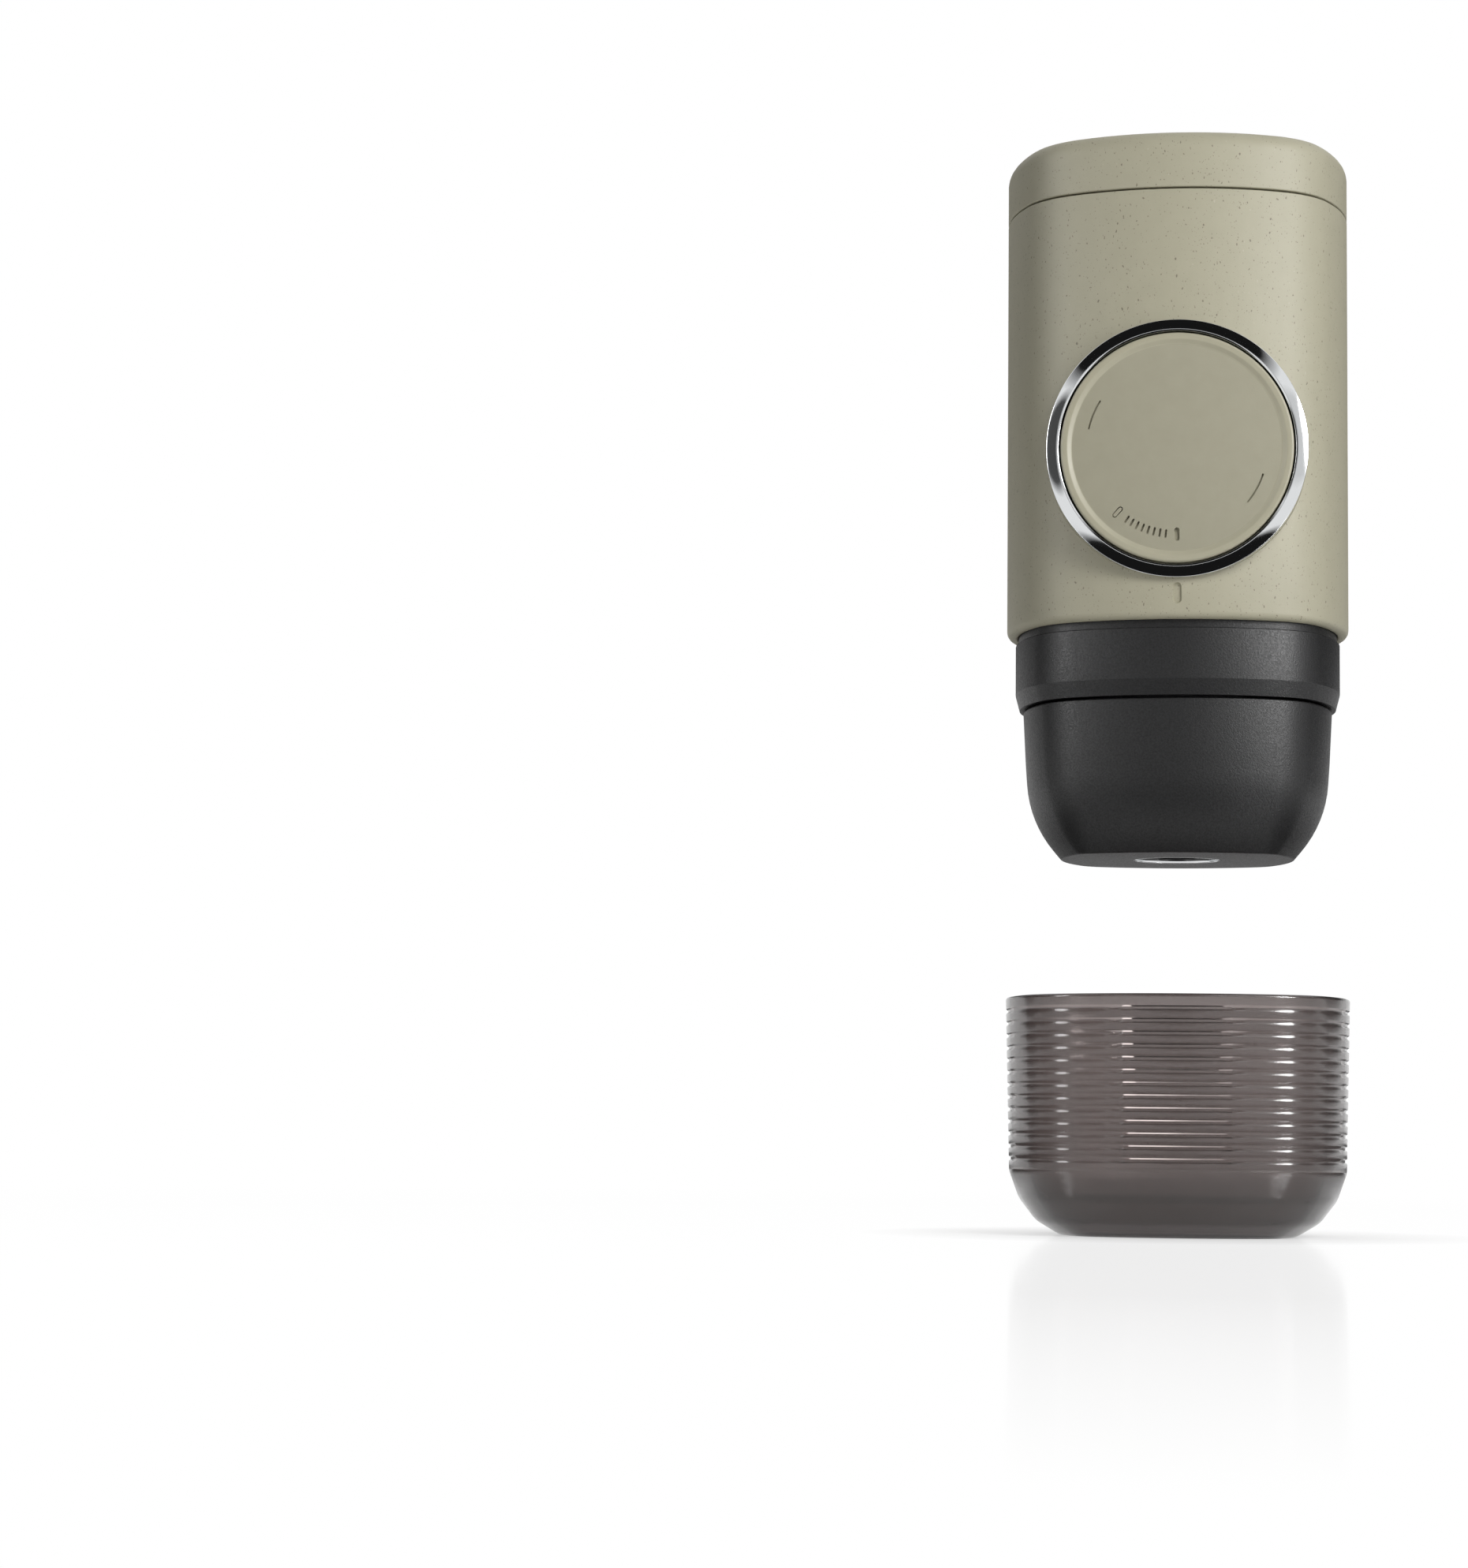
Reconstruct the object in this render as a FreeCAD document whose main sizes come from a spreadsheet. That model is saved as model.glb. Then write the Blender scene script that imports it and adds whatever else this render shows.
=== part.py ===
import FreeCAD, Part
import Sketcher
import math
import os
import re
from FreeCAD import Rotation, Vector

# The row frame: the cup stands on Z = 0, +Z is up, and the pump knob faces -Y.
# Heights called "level" are measured from the shell's bottom edge, as the machine is drawn there.
SIZES = (
    ("body_half", 29.5), ("side_radius", 42.1), ("corner_radius", 16.0),
    ("shell_height", 72.9), ("shell_wall", 2.0), ("shell_edge_round", 1.2),
    ("seam_gap", 0.3), ("seam_chamfer", 0.25), ("knob_height", 28.5),
    ("rebate_inset", 1.0), ("rebate_depth", 1.6),
    ("index_slot_low", 3.2), ("index_slot_high", 5.2), ("index_slot_round", 0.8),
    ("index_slot_deep", 0.5),
    ("boss_place", 15.2), ("boss_radius", 3.0), ("boss_bottom", 2.0), ("boss_top", 9.0),
    ("boss_count", 4), ("rib_half", 1.0), ("rib_reach", 21.15),
    ("screw_radius", 1.0), ("screw_hole", 1.1), ("screw_head_radius", 2.1),
    ("screw_head_hole", 2.3), ("screw_head_low", 2.9), ("screw_head_top", 1.0),
    ("screw_tip", 8.0),
    ("ring_outer", 21.8), ("ring_inner", 19.7), ("ring_back", 28.6), ("ring_side", 30.4),
    ("ring_bevel_front", 30.6), ("ring_bevel_radius", 21.6), ("ring_front", 31.2),
    ("ring_front_radius", 20.1),
    ("well_outer", 20.7), ("well_stub_back", 18.0), ("well_floor_front", 16.4),
    ("well_floor_back", 14.4), ("well_hole", 4.4), ("well_run", 12.2),
    ("flange_radius", 12.0), ("flange_back", 12.0), ("cylinder_radius", 10.0),
    ("bore_radius", 8.0), ("bore_front", 10.2), ("bore_back", 7.0), ("guide_radius", 4.08),
    ("rod_seal_radius", 6.0), ("rod_seal_inner", 4.05), ("rod_seal_back", 12.4),
    ("block_half", 9.5), ("block_top", 9.5), ("block_bottom", 12.0), ("block_back", 12.3),
    ("block_round", 1.5), ("port_side", 5.0), ("port_back", 9.6), ("chamber_radius", 2.4),
    ("chamber_top", 3.0), ("tube_top", 9.0), ("port_radius", 1.0), ("port_drop", 4.0),
    ("tube_outer", 2.4), ("tube_inner", 1.4), ("tube_bend", 3.1),
    ("valve_shoulder", 7.8), ("valve_tip", 6.0), ("valve_tip_radius", 0.9), ("valve_opening", 0.5),
    ("rod_radius", 4.0), ("rod_front", 29.1), ("rod_back", 2.0), ("rod_tail_radius", 2.5),
    ("rod_tail_back", 5.0), ("clip_front", 21.7), ("clip_back", 20.9), ("clip_inner", 3.4),
    ("clip_outer", 5.3),
    ("piston_radius", 7.92), ("piston_back", 6.0), ("piston_seal_inner", 6.6),
    ("piston_seal_outer", 7.96), ("piston_seal_front", 3.2), ("piston_seal_back", 4.8),
    ("spring_radius", 6.4), ("spring_wire", 0.6), ("spring_back", 16.7),
    ("spring_front", 29.1), ("spring_turns", 5),
    ("knob_radius", 19.4), ("knob_face", 31.4), ("knob_bevel_radius", 18.2),
    ("knob_bevel_back", 30.7), ("knob_skirt_back", 17.4), ("knob_skirt_inner", 17.9),
    ("knob_inside", 29.4), ("hub_outer", 5.4), ("hub_bore", 4.05), ("hub_back", 22.0),
    ("mark_deep", 0.3), ("mark_radius", 14.7), ("bar_half_long", 1.1), ("bar_half_wide", 0.43),
    ("tick_half_long", 0.7), ("tick_half_wide", 0.16), ("tick_start", 7.2), ("tick_step", 3.87),
    ("open_mark_angle", 42.0), ("open_mark_line", 0.2),
    ("dash_low_start", 51.0), ("dash_low_end", 72.0), ("dash_high_start", 102.0),
    ("dash_high_end", 122.0), ("dash_radius", 15.0), ("dash_half_wide", 0.14),
    ("tank_inset", 2.3), ("tank_wall", 1.2), ("tank_clear", 0.4), ("sump_floor", 10.0),
    ("sump_front", 12.5), ("tank_flange_inset", 1.2), ("tank_flange_thick", 1.2),
    ("outlet_level", 14.5), ("filter_radius", 3.2), ("filter_long", 2.0),
    ("filter_mouth", 1.0),
    ("collar_bottom", 12.6), ("collar_foot_inset", 2.6), ("collar_inset", 1.5),
    ("collar_slope_top", 9.9), ("band_bottom", 1.3), ("band_inset", 2.0),
    ("deck_top", 2.0), ("deck_bottom", 3.0), ("mouth_radius", 25.0),
    ("gasket_seat_radius", 26.0), ("gasket_seat_top", 9.5), ("feed_end", 1.0),
    ("plate_radius", 19.0), ("plate_bottom", 5.0), ("plate_recess_radius", 12.8),
    ("plate_recess_deep", 0.8), ("needle_ring", 6.0), ("needle_radius", 0.9),
    ("needle_bore", 0.35), ("needle_tip", 8.6), ("needle_bevel", 0.5), ("needle_count", 3),
    ("brew_seal_inner", 13.8), ("brew_seal_outer", 17.0), ("brew_seal_bottom", 6.8),
    ("head_depth", 38.5), ("head_top", 12.9), ("head_top_inset", 3.3),
    ("head_side_level", 22.0), ("head_side_inset", 3.7), ("head_knee_level", 29.4),
    ("head_knee_inset", 4.8), ("head_turn_level", 32.2), ("head_turn_inset", 5.7),
    ("head_foot_level", 37.7), ("head_foot_inset", 9.1), ("head_base_inset", 10.2),
    ("neck_radius", 24.6), ("neck_top", 3.4), ("head_bore", 22.0), ("head_bore_bottom", 28.0),
    ("holder_seat", 17.4), ("head_floor", 33.5),
    ("nozzle_recess", 7.5), ("nozzle_recess_top", 37.3), ("nozzle_flange", 7.1),
    ("nozzle_stem", 3.5), ("nozzle_face", 38.1), ("nozzle_bore", 1.2),
    ("nozzle_slot_near", 3.4), ("nozzle_slot_far", 5.6), ("nozzle_slot_half", 0.5),
    ("nozzle_slot_deep", 0.4),
    ("screen_radius", 16.6), ("screen_top", 32.0), ("pin_top", 31.2), ("pin_half", 0.8),
    ("pin_ring", 7.5), ("pin_count", 8), ("screen_hole", 0.6), ("screen_hole_ring", 4.2),
    ("screen_hole_count", 6),
    ("gasket_inner", 24.65), ("gasket_outer", 25.7), ("gasket_bottom", 12.85),
    ("gasket_top", 10.1),
    ("holder_outer", 17.0), ("holder_top", 7.1), ("holder_bottom", 31.7),
    ("holder_mouth", 15.6), ("holder_foot", 14.0), ("holder_hole", 12.0),
    ("holder_ledge", 30.5), ("holder_lip_radius", 19.0), ("holder_lip_bottom", 8.3),
    ("lid_side_top", 7.6), ("lid_bend_low", 8.8), ("lid_bend_low_inset", 0.35),
    ("lid_bend_high", 9.7), ("lid_bend_high_inset", 1.2), ("lid_shoulder_level", 10.15),
    ("lid_shoulder_inset", 2.6), ("lid_slope_level", 10.7), ("lid_slope_inset", 8.0),
    ("lid_crown_level", 11.0), ("lid_crown_inset", 14.0),
    ("lid_cavity_top", 8.0), ("plug_inset", 4.1), ("plug_bottom", 6.0), ("plug_wall", 1.6),
    ("lid_gasket_inset", 3.8), ("lid_gasket_seat", 4.8), ("lid_gasket_bottom", 4.0),
    ("lid_gasket_top", 2.4),
    ("vent_radius", 1.0), ("vent_disc_radius", 4.0), ("vent_disc_low", 7.0),
    ("vent_top", 10.2),
    ("cup_height", 40.5), ("stream_gap", 24.0), ("cup_draft", 0.65), ("cup_slope_top", 10.8),
    ("cup_rim_round", 0.35), ("groove_first", 2.0), ("groove_pitch", 2.1), ("groove_high", 0.8),
    ("groove_deep", 0.15), ("groove_count", 13),
    ("cup_curve_level_high", 6.2), ("cup_curve_inset_high", 2.3),
    ("cup_curve_level_low", 2.4), ("cup_curve_inset_low", 5.2), ("cup_foot_inset", 9.0),
    ("cup_wall", 1.2), ("cup_straight_level", 29.0), ("cup_inner_draft", 1.75),
    ("cup_inner_level_high", 7.1), ("cup_inner_inset_high", 3.5),
    ("cup_inner_level_low", 3.7), ("cup_inner_inset_low", 6.3),
    ("cup_floor", 1.5), ("cup_floor_inset", 9.6),
    ("notch_half", 9.2), ("notch_deep", 0.45), ("cut_clear", 1.0),
)

# The machine hangs above the cup by the height of the pouring stream.
LIFT = "cup_height + stream_gap + head_depth"
KNOB_AXIS = LIFT + " + knob_height"
LID_SEAT = LIFT + " + shell_height"
TANK_FLOOR = "knob_height + ring_outer + tank_clear"
# Every outline of the body is eight tangent arcs; this is where its corner arcs are centred.
CORNER_CENTRE = ("(sqrt(2*(side_radius - corner_radius)^2 - (side_radius - body_half)^2)"
                 " - (side_radius - body_half))/2")
QUARTERS = 4
NOTCHED_SIDE = 6
TICKS = 8
WIRE_FLATS = 8
FULL_TURN = 360
ORIGIN = -1
UPRIGHT_AXIS = -2
EDGE_TOLERANCE = 1e-4

doc = FreeCAD.newDocument("espresso_maker")
sheet = doc.addObject("Spreadsheet::Sheet", "Sizes")
for row, (word, value) in enumerate(SIZES, start=1):
    sheet.set("A%d" % row, word)
    sheet.set("B%d" % row, str(value))
    sheet.setAlias("B%d" % row, word)
doc.recompute()
WORDS = {word for word, value in SIZES}
NODES = []


def link(formula):
    return re.sub(r"[a-z][a-z_]*", lambda found: "Sizes." + found[0] if found[0] in WORDS else found[0],
                  formula)


def amount(formula):
    return float(sheet.evalExpression(link(formula)))


def new_body(name, rise):
    body = doc.addObject("PartDesign::Body", name)
    body.Label = name
    body.setExpression("Placement.Base.z", link(rise))
    NODES.append(body)
    return body


def origin_part(body, role):
    return next(part for part in body.Origin.OriginFeatures if part.Role == role)


def new_sketch(body, name, plane, offset):
    sketch = body.newObject("Sketcher::SketchObject", name)
    sketch.AttachmentSupport = [(origin_part(body, plane), "")]
    sketch.MapMode = "FlatFace"
    sketch.setExpression("AttachmentOffset.Base.z", link(offset))
    return sketch


def bound(sketch, kind, places, formula):
    index = sketch.addConstraint(Sketcher.Constraint(kind, *places, amount(formula)))
    sketch.setExpression("Constraints[%d]" % index, link(formula))


def pinned(sketch, shape, point, across, up):
    bound(sketch, "DistanceX", (ORIGIN, 1, shape, point), across)
    bound(sketch, "DistanceY", (ORIGIN, 1, shape, point), up)


def squircle(sketch, inset):
    """Eight tangent arcs, drawn at a distance inside the body's own outline."""
    corner = amount(CORNER_CENTRE)
    back = amount("side_radius - body_half")
    side_round = amount("side_radius - (%s)" % inset)
    corner_round = amount("corner_radius - (%s)" % inset)
    join = math.atan2(corner, corner + back)
    first = sketch.GeometryCount
    for quarter in range(QUARTERS):
        turn = quarter * math.pi / 2
        spin = Rotation(Vector(0, 0, 1), math.degrees(turn))
        side = Part.Circle(spin.multVec(Vector(-back, 0, 0)), Vector(0, 0, 1), side_round)
        bend = Part.Circle(spin.multVec(Vector(corner, corner, 0)), Vector(0, 0, 1), corner_round)
        sketch.addGeometry(Part.ArcOfCircle(side, turn - join, turn + join), False)
        sketch.addGeometry(Part.ArcOfCircle(bend, turn + join, turn + math.pi / 2 - join), False)
    rules = []
    for quarter in range(QUARTERS):
        side = first + 2 * quarter
        following = first + (2 * quarter + 2) % (2 * QUARTERS)
        rules.append(Sketcher.Constraint("Tangent", side, 2, side + 1, 1))
        rules.append(Sketcher.Constraint("Tangent", side + 1, 2, following, 1))
        if quarter:
            rules.append(Sketcher.Constraint("Equal", first, side))
            rules.append(Sketcher.Constraint("Equal", first + 1, side + 1))
    rules.append(Sketcher.Constraint("Symmetric", first + 1, 3, first + 3, 3, UPRIGHT_AXIS))
    rules.append(Sketcher.Constraint("Symmetric", first + 3, 3, first + 5, 3, ORIGIN))
    rules.append(Sketcher.Constraint("Symmetric", first + 1, 3, first + 7, 3, ORIGIN))
    sketch.addConstraint(rules)
    bound(sketch, "Radius", (first,), "side_radius - (%s)" % inset)
    bound(sketch, "Radius", (first + 1,), "corner_radius - (%s)" % inset)
    pinned(sketch, first + 1, 3, CORNER_CENTRE, CORNER_CENTRE)


def circle(sketch, across, up, radius):
    centre = Vector(amount(across), amount(up), 0)
    shape = sketch.addGeometry(Part.Circle(centre, Vector(0, 0, 1), amount(radius)), False)
    bound(sketch, "Radius", (shape,), radius)
    pinned(sketch, shape, 3, across, up)


def outline(sketch, corners):
    """A closed chain of straight edges, each corner held by two sizes."""
    spots = [Vector(amount(across), amount(up), 0) for across, up in corners]
    first = sketch.GeometryCount
    count = len(spots)
    for index, spot in enumerate(spots):
        sketch.addGeometry(Part.LineSegment(spot, spots[(index + 1) % count]), False)
    for index, (across, up) in enumerate(corners):
        before = first + (index - 1) % count
        sketch.addConstraint(Sketcher.Constraint("Coincident", before, 2, first + index, 1))
        pinned(sketch, first + index, 1, across, up)


def rectangle(sketch, left, right, low, high):
    outline(sketch, ((left, low), (right, low), (right, high), (left, high)))


def slot(sketch, across, low, high, radius):
    """An upright slot with round ends; low and high are the centres of its ends."""
    x, bottom, top, end = amount(across), amount(low), amount(high), amount(radius)
    up = Vector(0, 0, 1)
    shape = sketch.GeometryCount
    sketch.addGeometry(Part.ArcOfCircle(Part.Circle(Vector(x, bottom, 0), up, end), math.pi, 2 * math.pi),
                       False)
    sketch.addGeometry(Part.LineSegment(Vector(x + end, bottom, 0), Vector(x + end, top, 0)), False)
    sketch.addGeometry(Part.ArcOfCircle(Part.Circle(Vector(x, top, 0), up, end), 0, math.pi), False)
    sketch.addGeometry(Part.LineSegment(Vector(x - end, top, 0), Vector(x - end, bottom, 0)), False)
    for index in range(QUARTERS):
        following = shape + (index + 1) % QUARTERS
        sketch.addConstraint(Sketcher.Constraint("Tangent", shape + index, 2, following, 1))
    sketch.addConstraint(Sketcher.Constraint("Equal", shape, shape + 2))
    bound(sketch, "Radius", (shape,), radius)
    pinned(sketch, shape, 3, across, low)
    pinned(sketch, shape + 2, 3, across, high)


def pad(body, sketch, length, down=False):
    feature = body.newObject("PartDesign::Pad", sketch.Name + "_pad")
    feature.Profile = sketch
    feature.setExpression("Length", link(length))
    feature.Reversed = down
    doc.recompute()
    return feature


def pocket(body, sketch, length, up=False):
    feature = body.newObject("PartDesign::Pocket", sketch.Name + "_pocket")
    feature.Profile = sketch
    feature.setExpression("Length", link(length))
    feature.Reversed = up
    doc.recompute()
    return feature


def turned(body, name, plane, axis, corners):
    """A solid of revolution about one of its sketch's own axes."""
    sketch = new_sketch(body, name, plane, "0")
    outline(sketch, corners)
    feature = body.newObject("PartDesign::Revolution", name + "_turn")
    feature.Profile = sketch
    feature.ReferenceAxis = (sketch, [axis])
    feature.Angle = FULL_TURN
    doc.recompute()
    return feature


def about_pump(body, name, corners):
    return turned(body, name, "YZ_Plane", "H_Axis", corners)


def about_upright(body, name, corners):
    return turned(body, name, "XZ_Plane", "V_Axis", corners)


def squircle_pad(body, name, low, inset, length, inner=None):
    sketch = new_sketch(body, name, "XY_Plane", low)
    squircle(sketch, inset)
    if inner:
        squircle(sketch, inner)
    return pad(body, sketch, length)


def squircle_loft(body, name, sections, kind="PartDesign::AdditiveLoft"):
    """Straight-sided bands through outlines given as (level, inset)."""
    sketches = []
    for number, (level, inset) in enumerate(sections):
        sketch = new_sketch(body, "%s_%d" % (name, number), "XY_Plane", level)
        squircle(sketch, inset)
        sketches.append(sketch)
    feature = body.newObject(kind, name + "_loft")
    feature.Profile = sketches[0]
    feature.Sections = sketches[1:]
    feature.Ruled = True
    doc.recompute()
    return feature


def round_pad(body, name, low, radius, length, inner=None, across="0", back="0"):
    sketch = new_sketch(body, name, "XY_Plane", low)
    circle(sketch, across, back, radius)
    if inner:
        circle(sketch, across, back, inner)
    return pad(body, sketch, length)


def round_pocket(body, name, level, radius, length, up=False, across="0", back="0"):
    sketch = new_sketch(body, name, "XY_Plane", level)
    circle(sketch, across, back, radius)
    return pocket(body, sketch, length, up)


def pattern(body, name, originals, axis, count):
    feature = body.newObject("PartDesign::PolarPattern", name)
    feature.Originals = originals
    feature.Axis = (origin_part(body, axis), [""])
    feature.Angle = FULL_TURN
    feature.setExpression("Occurrences", link(count))
    body.Tip = feature
    doc.recompute()
    return feature


def level_edges(feature, level):
    """The names of a feature's edges that lie flat at one level."""
    height = amount(level)
    names = []
    for index, edge in enumerate(feature.Shape.Edges, start=1):
        box = edge.BoundBox
        if max(abs(box.ZMin - height), abs(box.ZMax - height)) < EDGE_TOLERANCE:
            names.append("Edge%d" % index)
    return names


def dress(body, name, kind, feature, level, prop, size):
    work = body.newObject(kind, name)
    work.Base = (feature, level_edges(feature, level))
    work.setExpression(prop, link(size))
    doc.recompute()
    return work


def rounded(body, name, feature, level, radius):
    return dress(body, name, "PartDesign::Fillet", feature, level, "Radius", radius)


def chamfered(body, name, feature, level, size):
    return dress(body, name, "PartDesign::Chamfer", feature, level, "Size", size)


def mark_corners(angle, middle, half_long, half_wide):
    """A short bar across a dial, its angle counted from straight down towards -X."""
    spots = []
    for along, aside in (("-", "-"), ("+", "-"), ("+", "+"), ("-", "+")):
        reach = "(%s %s %s)" % (middle, along, half_long)
        across = "-%s*sin(%s) %s %s*cos(%s)" % (reach, angle, aside, half_wide, angle)
        up = "-%s*cos(%s) %s %s*sin(%s)" % (reach, angle, "+" if aside == "-" else "-", half_wide, angle)
        spots.append((across, up))
    return spots


def build_shell():
    body = new_body("outer_shell", LIFT)
    block = squircle_pad(body, "shell_outline", "0", "0", "shell_height")
    block = rounded(body, "shell_foot_round", block, "0", "shell_edge_round")
    chamfered(body, "shell_seam_chamfer", block, "shell_height", "seam_chamfer")
    hollow = new_sketch(body, "shell_hollow", "XY_Plane", "shell_height")
    squircle(hollow, "shell_wall")
    pocket(body, hollow, "shell_height")
    rebate = new_sketch(body, "shell_rebate", "XY_Plane", "shell_height")
    squircle(rebate, "rebate_inset")
    pocket(body, rebate, "rebate_depth")
    front = new_sketch(body, "knob_boss", "XZ_Plane", "ring_back")
    circle(front, "0", "knob_height", "ring_outer")
    pad(body, front, "ring_back - well_stub_back", down=True)
    face = new_sketch(body, "ring_seat", "XZ_Plane", "ring_front")
    circle(face, "0", "knob_height", "ring_outer")
    pocket(body, face, "ring_front - ring_back")
    bore = new_sketch(body, "well_bore", "XZ_Plane", "ring_back")
    circle(bore, "0", "knob_height", "well_outer")
    pocket(body, bore, "well_run")
    index = new_sketch(body, "index_slot", "XZ_Plane", "body_half")
    slot(index, "0", "index_slot_low", "index_slot_high", "index_slot_round")
    pocket(body, index, "index_slot_deep")
    rib = new_sketch(body, "boss_rib", "XY_Plane", "boss_bottom")
    outline(rib, (("boss_place - rib_half", "boss_place + rib_half"),
                  ("boss_place + rib_half", "boss_place - rib_half"),
                  ("rib_reach + rib_half", "rib_reach - rib_half"),
                  ("rib_reach - rib_half", "rib_reach + rib_half")))
    ribs = pad(body, rib, "boss_top - boss_bottom")
    bosses = round_pad(body, "screw_boss", "boss_bottom", "boss_radius", "boss_top - boss_bottom",
                       across="boss_place", back="boss_place")
    holes = round_pocket(body, "boss_hole", "boss_top", "screw_radius", "boss_top - boss_bottom",
                         across="boss_place", back="boss_place")
    pattern(body, "four_bosses", [ribs, bosses, holes], "Z_Axis", "boss_count")


def build_tank():
    body = new_body("water_tank", LIFT)
    squircle_pad(body, "tank_outline", "sump_floor", "tank_inset",
                 "shell_height - rebate_depth - sump_floor")
    front = new_sketch(body, "tank_front", "XY_Plane", TANK_FLOOR)
    rectangle(front, "-body_half", "body_half", "-body_half", "sump_front")
    block = pocket(body, front, TANK_FLOOR + " - sump_floor")
    top = max(enumerate(block.Shape.Faces, start=1), key=lambda face: face[1].CenterOfMass.z)
    walls = body.newObject("PartDesign::Thickness", "tank_walls")
    walls.Base = (block, ["Face%d" % top[0]])
    walls.setExpression("Value", link("tank_wall"))
    walls.Reversed = True
    walls.Join = "Intersection"
    doc.recompute()
    squircle_pad(body, "tank_flange", "shell_height - rebate_depth", "tank_flange_inset",
                 "tank_flange_thick", inner="tank_inset + tank_wall")
    port = new_sketch(body, "tank_outlet", "XZ_Plane", "-sump_front")
    circle(port, "-port_side", "outlet_level", "tube_outer")
    pocket(body, port, "tank_wall")

    strainer = new_body("suction_filter", LIFT)
    cap = new_sketch(strainer, "filter_cap", "XZ_Plane", "-sump_front - tank_wall - filter_long")
    circle(cap, "-port_side", "outlet_level", "filter_radius")
    pad(strainer, cap, "filter_long")
    inside = new_sketch(strainer, "filter_mouth", "XZ_Plane", "-sump_front - tank_wall")
    circle(inside, "-port_side", "outlet_level", "tube_inner")
    pocket(strainer, inside, "filter_mouth")


def build_knob_well():
    about_pump(new_body("knob_well", KNOB_AXIS), "well_profile", (
        ("-ring_back", "ring_inner"), ("-ring_back", "well_outer"),
        ("-well_floor_back", "well_outer"), ("-well_floor_back", "well_hole"),
        ("-well_floor_front", "well_hole"), ("-well_floor_front", "ring_inner")))
    about_pump(new_body("bezel_ring", KNOB_AXIS), "ring_profile", (
        ("-ring_back", "ring_inner"), ("-ring_back", "ring_outer"), ("-ring_side", "ring_outer"),
        ("-ring_bevel_front", "ring_bevel_radius"), ("-ring_front", "ring_front_radius"),
        ("-ring_front", "ring_inner")))


def build_pump():
    about_pump(new_body("pump_cylinder", KNOB_AXIS), "cylinder_profile", (
        ("-well_floor_back", "rod_seal_radius"), ("-well_floor_back", "flange_radius"),
        ("-flange_back", "flange_radius"), ("-flange_back", "cylinder_radius"),
        ("bore_back", "cylinder_radius"), ("bore_back", "bore_radius"),
        ("-bore_front", "bore_radius"), ("-bore_front", "guide_radius"),
        ("-rod_seal_back", "guide_radius"), ("-rod_seal_back", "rod_seal_radius")))
    about_pump(new_body("rod_seal", KNOB_AXIS), "rod_seal_profile", (
        ("-well_floor_back", "rod_seal_inner"), ("-well_floor_back", "rod_seal_radius"),
        ("-rod_seal_back", "rod_seal_radius"), ("-rod_seal_back", "rod_seal_inner")))
    block = new_body("valve_block", KNOB_AXIS)
    sides = new_sketch(block, "block_outline", "XZ_Plane", "-block_back")
    rectangle(sides, "-block_half", "block_half", "-block_bottom", "block_top")
    solid = pad(block, sides, "block_back - bore_back")
    rounded(block, "block_top_round", solid, "block_top", "block_round")
    sketch = new_sketch(block, "chambers", "XY_Plane", "-block_bottom")
    circle(sketch, "port_side", "port_back", "chamber_radius")
    circle(sketch, "-port_side", "port_back", "chamber_radius")
    pocket(block, sketch, "block_bottom - chamber_top", up=True)
    cross = new_sketch(block, "cross_ports", "XZ_Plane", "-bore_back")
    circle(cross, "port_side", "-port_drop", "port_radius")
    circle(cross, "-port_side", "-port_drop", "port_radius")
    pocket(block, cross, "port_back - bore_back")
    for name, side in (("inlet_valve", "-port_side"), ("outlet_valve", "port_side")):
        valve = new_body(name, KNOB_AXIS)
        base = round_pad(valve, name + "_base", "-tube_top", "chamber_radius",
                         "tube_top - valve_shoulder", across=side, back="port_back")
        lips = []
        for number, (level, radius) in enumerate((("-valve_shoulder", "tube_inner"),
                                                  ("-valve_tip", "valve_tip_radius"))):
            ring = new_sketch(valve, "%s_lip_%d" % (name, number), "XY_Plane", level)
            circle(ring, side, "port_back", radius)
            lips.append(ring)
        lip = valve.newObject("PartDesign::AdditiveLoft", name + "_lips")
        lip.Profile = lips[0]
        lip.Sections = lips[1:]
        doc.recompute()
        round_pocket(valve, name + "_opening", "-tube_top", "valve_opening",
                     "tube_top - valve_tip", up=True, across=side, back="port_back")


def build_tubes():
    body = new_body("suction_tube", LIFT)
    path = new_sketch(body, "suction_path", "YZ_Plane", "-port_side")
    start, bend = amount("sump_front + tank_wall"), amount("tube_bend")
    low, back, top = amount("outlet_level"), amount("port_back"), amount("knob_height - tube_top")
    run = path.addGeometry(Part.LineSegment(Vector(start, low, 0), Vector(back + bend, low, 0)), False)
    elbow = Part.Circle(Vector(back + bend, low + bend, 0), Vector(0, 0, 1), bend)
    curve = path.addGeometry(Part.ArcOfCircle(elbow, math.pi, 3 * math.pi / 2), False)
    rise = path.addGeometry(Part.LineSegment(Vector(back, low + bend, 0), Vector(back, top, 0)), False)
    path.addConstraint(Sketcher.Constraint("Tangent", run, 2, curve, 2))
    path.addConstraint(Sketcher.Constraint("Tangent", curve, 1, rise, 1))
    bound(path, "Radius", (curve,), "tube_bend")
    pinned(path, run, 1, "sump_front + tank_wall", "outlet_level")
    pinned(path, curve, 3, "port_back + tube_bend", "outlet_level + tube_bend")
    bound(path, "DistanceY", (ORIGIN, 1, rise, 2), "knob_height - tube_top")
    ring = new_sketch(body, "suction_ring", "XZ_Plane", "-sump_front - tank_wall")
    circle(ring, "-port_side", "outlet_level", "tube_outer")
    circle(ring, "-port_side", "outlet_level", "tube_inner")
    tube = body.newObject("PartDesign::AdditivePipe", "suction_pipe")
    tube.Profile = ring
    tube.Spine = (path, [])
    doc.recompute()
    feed = new_body("feed_tube", LIFT)
    round_pad(feed, "feed_ring", "-feed_end", "tube_outer", "knob_height - tube_top + feed_end",
              inner="tube_inner", across="port_side", back="port_back")


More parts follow.
